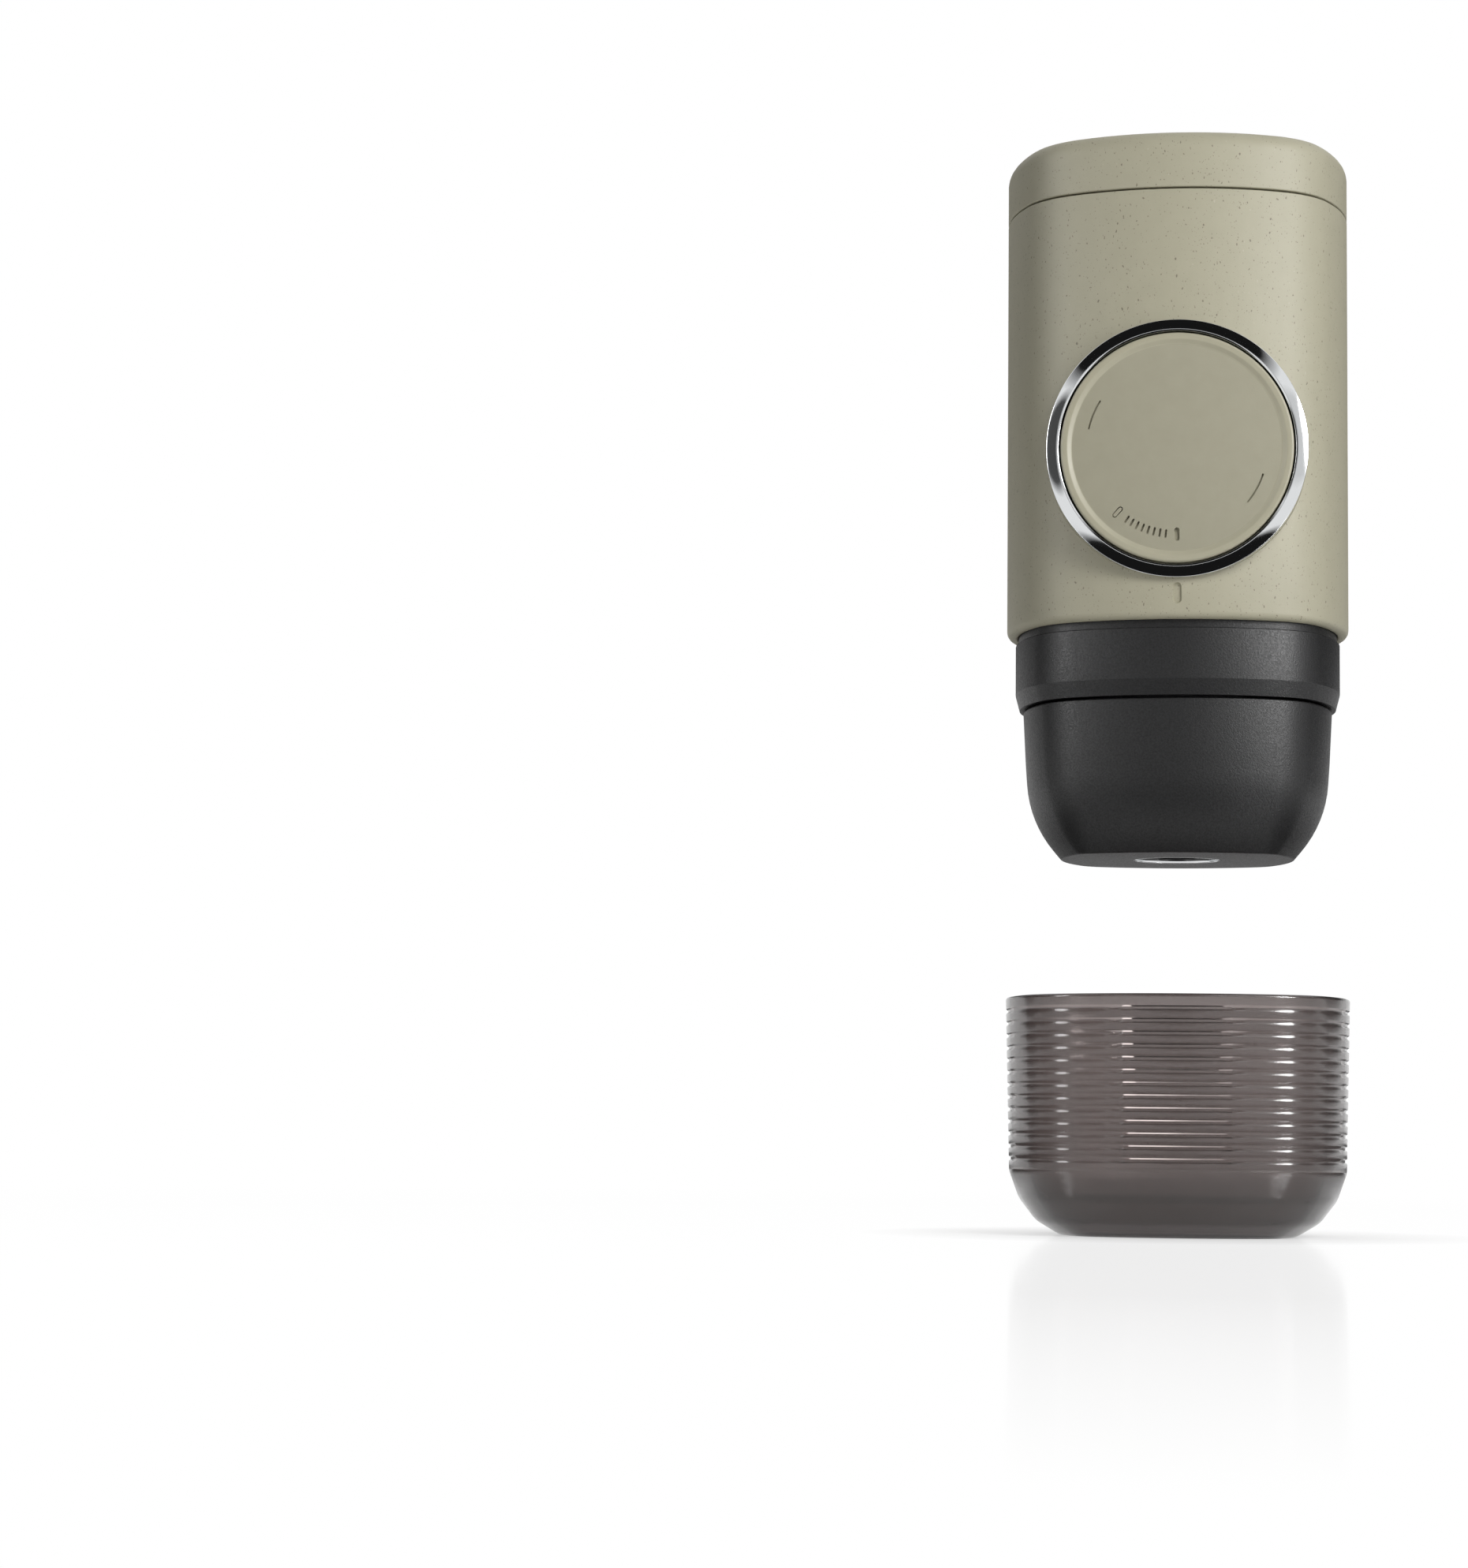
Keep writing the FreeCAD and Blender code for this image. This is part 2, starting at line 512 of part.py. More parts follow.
def build_plunger():
    about_pump(new_body("piston_rod", KNOB_AXIS), "rod_profile", (
        ("-rod_front", "0"), ("-rod_front", "rod_radius"), ("-clip_front", "rod_radius"),
        ("-clip_front", "clip_inner"), ("-clip_back", "clip_inner"), ("-clip_back", "rod_radius"),
        ("rod_back", "rod_radius"), ("rod_back", "rod_tail_radius"),
        ("rod_tail_back", "rod_tail_radius"), ("rod_tail_back", "0")))
    about_pump(new_body("piston", KNOB_AXIS), "piston_profile", (
        ("rod_back", "rod_tail_radius"), ("rod_back", "piston_radius"),
        ("piston_seal_front", "piston_radius"), ("piston_seal_front", "piston_seal_inner"),
        ("piston_seal_back", "piston_seal_inner"), ("piston_seal_back", "piston_radius"),
        ("piston_back", "piston_radius"), ("piston_back", "0"), ("rod_tail_back", "0"),
        ("rod_tail_back", "rod_tail_radius")))
    about_pump(new_body("piston_seal", KNOB_AXIS), "piston_seal_profile", (
        ("piston_seal_front", "piston_seal_inner"), ("piston_seal_front", "piston_seal_outer"),
        ("piston_seal_back", "piston_seal_outer"), ("piston_seal_back", "piston_seal_inner")))
    about_pump(new_body("retaining_clip", KNOB_AXIS), "clip_profile", (
        ("-clip_front", "clip_inner"), ("-clip_front", "clip_outer"),
        ("-clip_back", "clip_outer"), ("-clip_back", "clip_inner")))
    spring = new_body("return_spring", KNOB_AXIS)
    wire = new_sketch(spring, "spring_wire_ring", "YZ_Plane", "0")
    outline(wire, [("-spring_back - spring_wire + spring_wire*cos(%s)" % angle,
                    "spring_radius + spring_wire*sin(%s)" % angle)
                   for angle in range(0, FULL_TURN, FULL_TURN//WIRE_FLATS)])
    coil = spring.newObject("PartDesign::AdditiveHelix", "spring_coil")
    coil.Profile = wire
    coil.ReferenceAxis = (wire, ["H_Axis"])
    coil.Mode = "height-turns-growth"
    coil.setExpression("Height", link("spring_front - spring_back - 2*spring_wire"))
    coil.setExpression("Turns", link("spring_turns"))
    coil.Reversed = True
    doc.recompute()


def build_knob():
    body = new_body("pump_knob", KNOB_AXIS)
    about_pump(body, "knob_profile", (
        ("-knob_face", "0"), ("-knob_face", "knob_bevel_radius"), ("-knob_bevel_back", "knob_radius"),
        ("-knob_skirt_back", "knob_radius"), ("-knob_skirt_back", "knob_skirt_inner"),
        ("-knob_inside", "knob_skirt_inner"), ("-knob_inside", "hub_outer"),
        ("-hub_back", "hub_outer"), ("-hub_back", "hub_bore"), ("-knob_inside", "hub_bore"),
        ("-knob_inside", "0")))
    marks = new_sketch(body, "dial_marks", "XZ_Plane", "knob_face")
    outline(marks, mark_corners("0", "mark_radius", "bar_half_long", "bar_half_wide"))
    for tick in range(TICKS):
        angle = "(tick_start + %d*tick_step)" % tick
        outline(marks, mark_corners(angle, "mark_radius", "tick_half_long", "tick_half_wide"))
    outline(marks, mark_corners("open_mark_angle", "mark_radius", "bar_half_long", "bar_half_wide"))
    outline(marks, mark_corners("open_mark_angle", "mark_radius",
                                "(bar_half_long - open_mark_line)",
                                "(bar_half_wide - open_mark_line)"))
    for start, end in (("-dash_low_end", "-dash_low_start"), ("dash_high_start", "dash_high_end")):
        outer, inner = "(dash_radius + dash_half_wide)", "(dash_radius - dash_half_wide)"
        middle = "((%s + %s)/2)" % (start, end)
        spots = [("-%s*sin(%s)" % (reach, angle), "-%s*cos(%s)" % (reach, angle))
                 for reach, angles in ((outer, (start, middle, end)), (inner, (end, middle, start)))
                 for angle in angles]
        outline(marks, spots)
    pocket(body, marks, "mark_deep")


def build_collar():
    body = new_body("lower_collar", LIFT)
    squircle_loft(body, "collar_foot", (("-collar_bottom", "collar_foot_inset"),
                                        ("-collar_slope_top", "collar_inset")))
    squircle_pad(body, "collar_side", "-collar_slope_top", "collar_inset",
                 "collar_slope_top - band_bottom")
    squircle_pad(body, "collar_band", "-band_bottom", "band_inset", "band_bottom + deck_top")
    round_pocket(body, "mouth", "-collar_bottom", "mouth_radius", "collar_bottom - deck_bottom", up=True)
    round_pocket(body, "gasket_seat", "-collar_bottom", "gasket_seat_radius",
                 "collar_bottom - gasket_seat_top", up=True)
    round_pocket(body, "feed_socket", "deck_top", "tube_outer", "deck_top + feed_end",
                 across="port_side", back="port_back")
    round_pocket(body, "feed_hole", "-feed_end", "tube_inner", "deck_bottom - feed_end",
                 across="port_side", back="port_back")
    heads = round_pocket(body, "screw_seat", "-deck_bottom", "screw_head_hole",
                         "deck_bottom - screw_head_top", up=True, across="boss_place", back="boss_place")
    holes = round_pocket(body, "screw_way", "-screw_head_top", "screw_hole",
                         "deck_top + screw_head_top", up=True, across="boss_place", back="boss_place")
    pattern(body, "four_screw_ways", [heads, holes], "Z_Axis", "boss_count")

    screws = new_body("group_screws", LIFT)
    head = round_pad(screws, "screw_head", "-screw_head_low", "screw_head_radius",
                     "screw_head_low - screw_head_top", across="boss_place", back="boss_place")
    shank = round_pad(screws, "screw_shank", "-screw_head_top", "screw_radius",
                      "screw_head_top + screw_tip", across="boss_place", back="boss_place")
    pattern(screws, "four_screws", [head, shank], "Z_Axis", "boss_count")


def build_brew_group():
    plate = new_body("needle_plate", LIFT)
    round_pad(plate, "plate_disc", "-plate_bottom", "plate_radius", "plate_bottom - deck_bottom")
    round_pocket(plate, "plate_recess", "-deck_bottom", "plate_recess_radius", "plate_recess_deep")
    hole = round_pocket(plate, "needle_hole", "-plate_bottom", "needle_radius",
                        "plate_bottom - deck_bottom", up=True, across="needle_ring")
    pattern(plate, "needle_holes", [hole], "Z_Axis", "needle_count")

    needles = new_body("water_needles", LIFT)
    spike = round_pad(needles, "needle_spike", "-needle_tip", "needle_radius",
                      "needle_tip - deck_bottom - plate_recess_deep", across="needle_ring")
    spikes = pattern(needles, "all_spikes", [spike], "Z_Axis", "needle_count")
    chamfered(needles, "needle_points", spikes, "-needle_tip", "needle_bevel")
    bore = round_pocket(needles, "needle_bore_hole", "-needle_tip", "needle_bore",
                        "needle_tip - deck_bottom", up=True, across="needle_ring")
    pattern(needles, "needle_bores", [bore], "Z_Axis", "needle_count")

    about_upright(new_body("brew_seal", LIFT), "brew_seal_profile", (
        ("brew_seal_inner", "-plate_bottom"), ("brew_seal_outer", "-plate_bottom"),
        ("brew_seal_outer", "-brew_seal_bottom"), ("brew_seal_inner", "-brew_seal_bottom")))


def build_head():
    about_upright(new_body("head_gasket", LIFT), "gasket_profile", (
        ("gasket_inner", "-gasket_bottom"), ("gasket_outer", "-gasket_bottom"),
        ("gasket_outer", "-gasket_top"), ("gasket_inner", "-gasket_top")))
    body = new_body("outlet_head", LIFT)
    squircle_loft(body, "bowl", (
        ("-head_depth", "head_base_inset"), ("-head_foot_level", "head_foot_inset"),
        ("-head_turn_level", "head_turn_inset"), ("-head_knee_level", "head_knee_inset"),
        ("-head_side_level", "head_side_inset"), ("-head_top", "head_top_inset")))
    round_pad(body, "neck", "-head_top", "neck_radius", "head_top - neck_top")
    round_pocket(body, "chamber", "-neck_top", "head_bore", "head_bore_bottom - neck_top")
    round_pocket(body, "chamber_floor", "-head_bore_bottom", "holder_seat",
                 "head_floor - head_bore_bottom")
    round_pocket(body, "outlet_recess", "-head_depth", "nozzle_recess",
                 "head_depth - nozzle_recess_top", up=True)
    round_pocket(body, "outlet_way", "-nozzle_recess_top", "nozzle_stem",
                 "nozzle_recess_top - head_floor", up=True)

    screen = new_body("extraction_plate", LIFT)
    round_pad(screen, "screen_disc", "-head_floor", "screen_radius", "head_floor - screen_top")
    stud = new_sketch(screen, "screen_pin", "XY_Plane", "-screen_top")
    rectangle(stud, "pin_ring - pin_half", "pin_ring + pin_half", "-pin_half", "pin_half")
    pins = pad(screen, stud, "screen_top - pin_top")
    pattern(screen, "screen_pins", [pins], "Z_Axis", "pin_count")
    hole = round_pocket(screen, "screen_way", "-head_floor", "screen_hole",
                        "head_floor - screen_top", up=True, across="screen_hole_ring")
    pattern(screen, "screen_ways", [hole], "Z_Axis", "screen_hole_count")
    round_pocket(screen, "screen_centre", "-head_floor", "nozzle_bore", "head_floor - screen_top", up=True)

    nozzle = new_body("outlet_nozzle", LIFT)
    about_upright(nozzle, "nozzle_profile", (
        ("nozzle_bore", "-head_floor"), ("nozzle_stem", "-head_floor"),
        ("nozzle_stem", "-nozzle_recess_top"), ("nozzle_flange", "-nozzle_recess_top"),
        ("nozzle_flange", "-nozzle_face"), ("nozzle_bore", "-nozzle_face")))
    slots = new_sketch(nozzle, "nozzle_slots", "XY_Plane", "-nozzle_face")
    rectangle(slots, "nozzle_slot_near", "nozzle_slot_far", "-nozzle_slot_half", "nozzle_slot_half")
    rectangle(slots, "-nozzle_slot_far", "-nozzle_slot_near", "-nozzle_slot_half", "nozzle_slot_half")
    pocket(nozzle, slots, "nozzle_slot_deep", up=True)
    round_pad(new_body("nozzle_rim", LIFT), "nozzle_rim_ring", "-head_depth", "nozzle_recess",
              "head_depth - nozzle_recess_top", inner="nozzle_flange")

    about_upright(new_body("capsule_holder", LIFT), "holder_profile", (
        ("holder_mouth", "-holder_top"), ("holder_lip_radius", "-holder_top"),
        ("holder_lip_radius", "-holder_lip_bottom"), ("holder_outer", "-holder_lip_bottom"),
        ("holder_outer", "-holder_bottom"), ("holder_hole", "-holder_bottom"),
        ("holder_hole", "-holder_ledge"), ("holder_foot", "-holder_ledge")))


def build_lid():
    body = new_body("tank_lid", LID_SEAT)
    squircle_loft(body, "lid_top", (
        ("seam_gap", "seam_chamfer"), ("seam_gap + seam_chamfer", "0"), ("lid_side_top", "0"),
        ("lid_bend_low", "lid_bend_low_inset"), ("lid_bend_high", "lid_bend_high_inset"),
        ("lid_shoulder_level", "lid_shoulder_inset"), ("lid_slope_level", "lid_slope_inset"),
        ("lid_crown_level", "lid_crown_inset")))
    plug = new_sketch(body, "lid_plug", "XY_Plane", "seam_gap")
    squircle(plug, "plug_inset")
    pad(body, plug, "seam_gap + plug_bottom", down=True)
    hollow = new_sketch(body, "lid_hollow", "XY_Plane", "-plug_bottom")
    squircle(hollow, "plug_inset + plug_wall")
    pocket(body, hollow, "lid_cavity_top + plug_bottom", up=True)
    groove = new_sketch(body, "lid_gasket_groove", "XY_Plane", "-lid_gasket_top")
    squircle(groove, "plug_inset - cut_clear")
    squircle(groove, "lid_gasket_seat")
    pocket(body, groove, "lid_gasket_bottom - lid_gasket_top")
    round_pocket(body, "vent_hole", "lid_cavity_top", "vent_radius",
                 "lid_crown_level - lid_cavity_top", up=True)
    squircle_pad(new_body("lid_gasket", LID_SEAT), "lid_gasket_ring", "-lid_gasket_bottom",
                 "lid_gasket_inset", "lid_gasket_bottom - lid_gasket_top", inner="lid_gasket_seat")
    about_upright(new_body("vent_valve", LID_SEAT), "vent_profile", (
        ("0", "vent_disc_low"), ("vent_disc_radius", "vent_disc_low"),
        ("vent_disc_radius", "lid_cavity_top"), ("vent_radius", "lid_cavity_top"),
        ("vent_radius", "vent_top"), ("0", "vent_top")))


def notched(sketch, inset, step):
    """The body's outline with a strip in the middle of each side set further in."""
    corner = amount(CORNER_CENTRE)
    back = amount("side_radius - body_half")
    side_round = amount("side_radius - (%s)" % inset)
    corner_round = amount("corner_radius - (%s)" % inset)
    floor_round = amount("side_radius - (%s) - %s" % (inset, step))
    half = amount("notch_half")
    join = math.atan2(corner, corner + back)
    edge, deep_edge = math.asin(half/side_round), math.asin(half/floor_round)
    first = sketch.GeometryCount
    rules = []
    for quarter in range(QUARTERS):
        turn = quarter * math.pi / 2
        spin = Rotation(Vector(0, 0, 1), math.degrees(turn))
        middle = spin.multVec(Vector(-back, 0, 0))
        side = Part.Circle(middle, Vector(0, 0, 1), side_round)
        floor = Part.Circle(middle, Vector(0, 0, 1), floor_round)
        bend = Part.Circle(spin.multVec(Vector(corner, corner, 0)), Vector(0, 0, 1), corner_round)
        low = Part.LineSegment(side.value(turn - edge), floor.value(turn - deep_edge))
        high = Part.LineSegment(floor.value(turn + deep_edge), side.value(turn + edge))
        for shape in (Part.ArcOfCircle(side, turn - join, turn - edge), low,
                      Part.ArcOfCircle(floor, turn - deep_edge, turn + deep_edge), high,
                      Part.ArcOfCircle(side, turn + edge, turn + join),
                      Part.ArcOfCircle(bend, turn + join, turn + math.pi / 2 - join)):
            sketch.addGeometry(shape, False)
        flank = first + NOTCHED_SIDE*quarter
        following = first + NOTCHED_SIDE*((quarter + 1) % QUARTERS)
        for place in range(NOTCHED_SIDE - 2):
            rules.append(Sketcher.Constraint("Coincident", flank + place, 2, flank + place + 1, 1))
        rules.append(Sketcher.Constraint("Coincident", flank + 2, 3, flank, 3))
        rules.append(Sketcher.Constraint("Coincident", flank + 4, 3, flank, 3))
        rules.append(Sketcher.Constraint("Equal", flank, flank + 4))
        rules.append(Sketcher.Constraint("Tangent", flank + 4, 2, flank + 5, 1))
        rules.append(Sketcher.Constraint("Tangent", flank + 5, 2, following, 1))
        if quarter:
            for place in (0, 2, 5):
                rules.append(Sketcher.Constraint("Equal", first + place, flank + place))
        for place in (1, 3):
            rules.append(Sketcher.Constraint("Vertical" if quarter % 2 else "Horizontal", flank + place))
    sketch.addConstraint(rules)
    bound(sketch, "Radius", (first,), "side_radius - (%s)" % inset)
    bound(sketch, "Radius", (first + 2,), "side_radius - (%s) - %s" % (inset, step))
    bound(sketch, "Radius", (first + 5,), "corner_radius - (%s)" % inset)
    signs = (("", ""), ("-", ""), ("-", "-"), ("", "-"))
    for quarter, (across, up) in enumerate(signs):
        flank = first + NOTCHED_SIDE*quarter
        pinned(sketch, flank + 5, 3, "%s(%s)" % (across, CORNER_CENTRE), "%s(%s)" % (up, CORNER_CENTRE))
        kind = "DistanceX" if quarter % 2 else "DistanceY"
        near, far = ("-notch_half", "notch_half") if quarter in (0, 3) else ("notch_half", "-notch_half")
        bound(sketch, kind, (ORIGIN, 1, flank + 1, 1), near)
        bound(sketch, kind, (ORIGIN, 1, flank + 3, 2), far)


def build_cup():
    body = new_body("drinking_cup", "0")
    squircle_loft(body, "cup_outside", (
        ("cup_height", "cup_rim_round"), ("cup_height - cup_rim_round", "0"),
        ("cup_slope_top", "cup_draft"), ("cup_curve_level_high", "cup_curve_inset_high"),
        ("cup_curve_level_low", "cup_curve_inset_low"), ("0", "cup_foot_inset")))
    squircle_loft(body, "cup_inside", (
        ("cup_height", "cup_wall"), ("cup_straight_level", "cup_wall"),
        ("cup_slope_top", "cup_inner_draft"), ("cup_inner_level_high", "cup_inner_inset_high"),
        ("cup_inner_level_low", "cup_inner_inset_low"), ("cup_floor", "cup_floor_inset")),
        "PartDesign::SubtractiveLoft")
    for number in range(int(amount("groove_count"))):
        drop = "(groove_first + %d*groove_pitch)" % number
        groove = new_sketch(body, "groove_%d" % number, "XY_Plane", "cup_height - " + drop)
        squircle(groove, "-cut_clear")
        drafted = "cup_draft*%s/(cup_height - cup_slope_top)" % drop
        notched(groove, drafted + " + groove_deep", "notch_deep")
        pocket(body, groove, "groove_high")


build_shell()
build_tank()
build_knob_well()
build_pump()
build_tubes()
build_plunger()
build_knob()
build_collar()
build_brew_group()
build_head()
build_lid()
build_cup()
doc.recompute()

for item in doc.Objects:
    if "Invalid" in item.State or "Error" in item.State:
        raise SystemExit("%s did not build: %s" % (item.Name, item.State))
os.makedirs("parts", exist_ok=True)
for node in NODES:
    if node.Shape.isNull() or not node.Shape.isValid():
        raise SystemExit(node.Label + " has no valid shape")
    node.Shape.exportStep("parts/%s.step" % node.Label)
    print("%-18s %9.1f mm3" % (node.Label, node.Shape.Volume))
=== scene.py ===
import bmesh
import bpy
import math
from mathutils import Matrix, Vector


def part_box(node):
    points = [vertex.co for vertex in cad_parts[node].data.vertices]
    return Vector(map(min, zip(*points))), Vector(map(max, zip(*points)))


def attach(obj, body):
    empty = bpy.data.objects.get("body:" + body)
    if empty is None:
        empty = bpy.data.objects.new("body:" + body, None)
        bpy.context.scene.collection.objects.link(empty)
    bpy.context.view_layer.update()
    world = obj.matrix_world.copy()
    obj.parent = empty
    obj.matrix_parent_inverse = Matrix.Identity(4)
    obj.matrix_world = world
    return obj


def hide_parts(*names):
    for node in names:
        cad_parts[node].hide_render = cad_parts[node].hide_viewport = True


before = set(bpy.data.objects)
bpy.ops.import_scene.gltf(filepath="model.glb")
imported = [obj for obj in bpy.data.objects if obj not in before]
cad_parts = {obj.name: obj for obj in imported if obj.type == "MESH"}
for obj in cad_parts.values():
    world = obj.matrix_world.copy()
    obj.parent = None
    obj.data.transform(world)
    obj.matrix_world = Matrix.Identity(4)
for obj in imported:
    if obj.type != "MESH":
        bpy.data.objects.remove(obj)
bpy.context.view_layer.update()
print("frame loaded:", len(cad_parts), "nodes")

mm = 0.001
zAxis = Vector((0, 0, 1))
shellLow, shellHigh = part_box("outer_shell")
shellFoot = shellLow.z / mm                 # levels on the machine count from the shell's bottom edge
shellTall = (shellHigh.z - shellLow.z) / mm
knobLow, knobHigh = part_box("pump_knob")
knobLevel = (knobLow.z + knobHigh.z) / 2 / mm
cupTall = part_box("drinking_cup")[1].z / mm
studio = bpy.context.scene
studio.view_settings.view_transform = "Standard"

# the rounded-square outline that every casing part shares, in millimetres
outline = {"half": 29.5, "sideRadius": 42.1, "cornerRadius": 16.0, "sideSteps": 14, "cornerSteps": 10,
           "panelHalf": 9.2, "panelLip": 0.15, "panelSteps": 8, "flankSteps": 3, "crownInset": 14.0,
           "weld": 0.001}
latheWeld = 0.0005


# ---- shaping helpers

def cornerCentre():
    back = outline["sideRadius"] - outline["half"]
    reach = outline["sideRadius"] - outline["cornerRadius"]
    return (math.sqrt(2 * reach ** 2 - back ** 2) - back) / 2


def spunArc(centre, radius, start, sweep, steps):
    # a vertex spun about the arc's centre: where it stops, and which way is outward there
    bm = bmesh.new()
    arm = Matrix.Rotation(start, 2) @ Vector((radius, 0))
    seed = bm.verts.new((centre + arm).to_3d())
    bmesh.ops.spin(bm, geom=[seed], cent=centre.to_3d(), axis=zAxis, angle=sweep, steps=steps)
    stops = [(vert.co.xy, (vert.co.xy - centre).normalized()) for vert in bm.verts]
    bm.free()
    return stops


def outlineColumns(panelled=False):
    # the outline's points in order; a panelled outline has a stepped strip in the middle of each side
    corner = cornerCentre()
    back = outline["sideRadius"] - outline["half"]
    join = math.atan2(corner, corner + back)
    columns = []
    for quarter in range(4):
        turn = quarter * math.pi / 2
        spin = Matrix.Rotation(turn, 2)
        middle, bend = spin @ Vector((-back, 0)), spin @ Vector((corner, corner))
        arcs = [(middle, outline["sideRadius"], -join, 2 * join, outline["sideSteps"], 0)]
        if panelled:
            edge = math.asin(outline["panelHalf"] / outline["sideRadius"])
            lip = edge - outline["panelLip"] / outline["sideRadius"]
            arcs = [(middle, outline["sideRadius"], -join, join - edge, outline["flankSteps"], 0),
                    (middle, outline["sideRadius"], -lip, 2 * lip, outline["panelSteps"], 1),
                    (middle, outline["sideRadius"], edge, join - edge, outline["flankSteps"], 0)]
        arcs.append((bend, outline["cornerRadius"], join, math.pi / 2 - 2 * join,
                     outline["cornerSteps"], 0))
        for centre, radius, start, sweep, steps, inPanel in arcs:
            for place, outward in spunArc(centre, radius, turn + start, sweep, steps):
                if not columns or (place - columns[-1]["place"]).length > outline["weld"]:
                    columns.append({"place": place, "outward": outward, "inPanel": inPanel})
    return columns[:-1]


def placed(column, section):
    # square sections are set in from the outline, round ones lie on a circle, scaled ones shrink the crown
    shape, size, level, panelDeep = section
    if shape == "round":
        spot = column["place"].normalized() * size
    elif shape == "scaled":
        spot = (column["place"] - column["outward"] * outline["crownInset"]) * size
    else:
        spot = column["place"] - column["outward"] * (size + panelDeep * column["inPanel"])
    return Vector((spot.x, spot.y, level)) * mm


def square(points):
    return [("square", inset, level, 0.0) for inset, level in points]


def rounds(points):
    return [("round", radius, level, 0.0) for radius, level in points]


def sweepOutline(bm, columns, sections, closed=False, capFirst=False, capLast=False):
    # one ring of the outline, extruded from section to section
    verts = [bm.verts.new(placed(column, sections[0])) for column in columns]
    firstEdges = edges = [bm.edges.new(pair) for pair in zip(verts, verts[1:] + verts[:1])]
    for section in sections[1:]:
        spread = bmesh.ops.extrude_edge_only(bm, edges=edges)
        fresh = {item for item in spread["geom"] if isinstance(item, bmesh.types.BMVert)}
        verts = [next(edge.other_vert(vert) for edge in vert.link_edges if edge.other_vert(vert) in fresh)
                 for vert in verts]
        edges = [bm.edges.get(pair) for pair in zip(verts, verts[1:] + verts[:1])]
        for vert, column in zip(verts, columns):
            vert.co = placed(column, section)
    if closed:
        bmesh.ops.bridge_loops(bm, edges=firstEdges + edges)
    for capped, ring in ((capFirst, firstEdges), (capLast, edges)):
        if capped:
            bmesh.ops.edgeloop_fill(bm, edges=ring)


def softened(path, closed=True, steps=4):
    # (across, level, radius) corners become points, each corner with a radius turned into an arc
    points = []
    count = len(path)
    for index, (across, level, radius) in enumerate(path):
        here = Vector((across, level))
        ended = not closed and index in (0, count - 1)
        if ended or not radius:
            points.append((across, level))
            continue
        before = (Vector(path[index - 1][:2]) - here).normalized()
        after = (Vector(path[(index + 1) % count][:2]) - here).normalized()
        half = before.angle(after) / 2
        middle = here + (before + after).normalized() * (radius / math.sin(half))
        start = here + before * (radius / math.tan(half)) - middle
        end = here + after * (radius / math.tan(half)) - middle
        sweep = start.angle_signed(end)
        for step in range(steps + 1):
            arm = Matrix.Rotation(-sweep * step / steps, 2) @ start
            points.append(tuple(middle + arm))
    return points


def lathe(bm, path, closed=True, steps=128):
    # a profile of (radius, level) spun about the upright axis
    verts = [bm.verts.new(Vector((radius, 0, level)) * mm) for radius, level in path]
    pairs = list(zip(verts, verts[1:])) + ([(verts[-1], verts[0])] if closed else [])
    edges = [bm.edges.new(pair) for pair in pairs]
    bmesh.ops.spin(bm, geom=verts + edges, cent=Vector(), axis=zAxis, angle=2 * math.pi, steps=steps,
                   use_merge=True)
    bmesh.ops.remove_doubles(bm, verts=bm.verts, dist=latheWeld * mm)


def lift(bm, level):
    bmesh.ops.translate(bm, verts=bm.verts, vec=Vector((0, 0, level * mm)))


def faceUser(bm):
    # what pointed up points at the user
    bmesh.ops.transform(bm, verts=bm.verts, matrix=Matrix.Rotation(math.pi / 2, 4, "X"))


def toPumpAxis(bm):
    # what was turned about the upright axis now lies on the knob's axis
    faceUser(bm)
    lift(bm, knobLevel)


def toMachine(bm):
    lift(bm, shellFoot)


def thicken(bm, tall):
    # gives a flat shape its height
    raised = bmesh.ops.extrude_face_region(bm, geom=bm.faces[:])
    top = [item for item in raised["geom"] if isinstance(item, bmesh.types.BMVert)]
    bmesh.ops.translate(bm, verts=top, vec=Vector((0, 0, tall * mm)))


def meshObject(name, bm):
    mesh = bpy.data.meshes.new(name)
    bm.to_mesh(mesh)
    bm.free()
    item = bpy.data.objects.new(name, mesh)
    studio.collection.objects.link(item)
    return item


def addPiece(name, bm, material, body, replaces=(), sharpAngle=35, second=None):
    # faces numbered 1 by their material index take the second material
    bmesh.ops.recalc_face_normals(bm, faces=bm.faces)
    for face in bm.faces:
        face.smooth = True
    for edge in bm.edges:
        edge.smooth = len(edge.link_faces) == 2 and edge.calc_face_angle() < math.radians(sharpAngle)
    piece = meshObject(name, bm)
    piece.data.materials.append(material)
    if second:
        piece.data.materials.append(second)
    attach(piece, body)
    if replaces:
        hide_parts(*replaces)
    print("piece:", name, len(piece.data.polygons), "faces")


def cutAway(bm, cutter):
    # takes the cutter's volume out of the piece with an exact boolean, and frees the cutter
    meshes = []
    for shape in (bm, cutter):
        bmesh.ops.recalc_face_normals(shape, faces=shape.faces)
        mesh = bpy.data.meshes.new("cutting")
        shape.to_mesh(mesh)
        meshes.append(mesh)
    body, tool = (bpy.data.objects.new("cutting", mesh) for mesh in meshes)
    studio.collection.objects.link(body)
    studio.collection.objects.link(tool)
    boolean = body.modifiers.new("cut", "BOOLEAN")
    boolean.operation = "DIFFERENCE"
    boolean.solver = "EXACT"
    boolean.object = tool
    result = body.evaluated_get(bpy.context.evaluated_depsgraph_get())
    bm.clear()
    bm.from_mesh(result.to_mesh())
    result.to_mesh_clear()
    for item in (body, tool):
        bpy.data.objects.remove(item)
    for mesh in meshes:
        bpy.data.meshes.remove(mesh)
    cutter.free()


# ---- materials

def linear(hexColour):
    channels = [int(hexColour[start:start + 2], 16) / 255 for start in (1, 3, 5)]
    return tuple(c / 12.92 if c <= 0.04045 else ((c + 0.055) / 1.055) ** 2.4 for c in channels) + (1.0,)


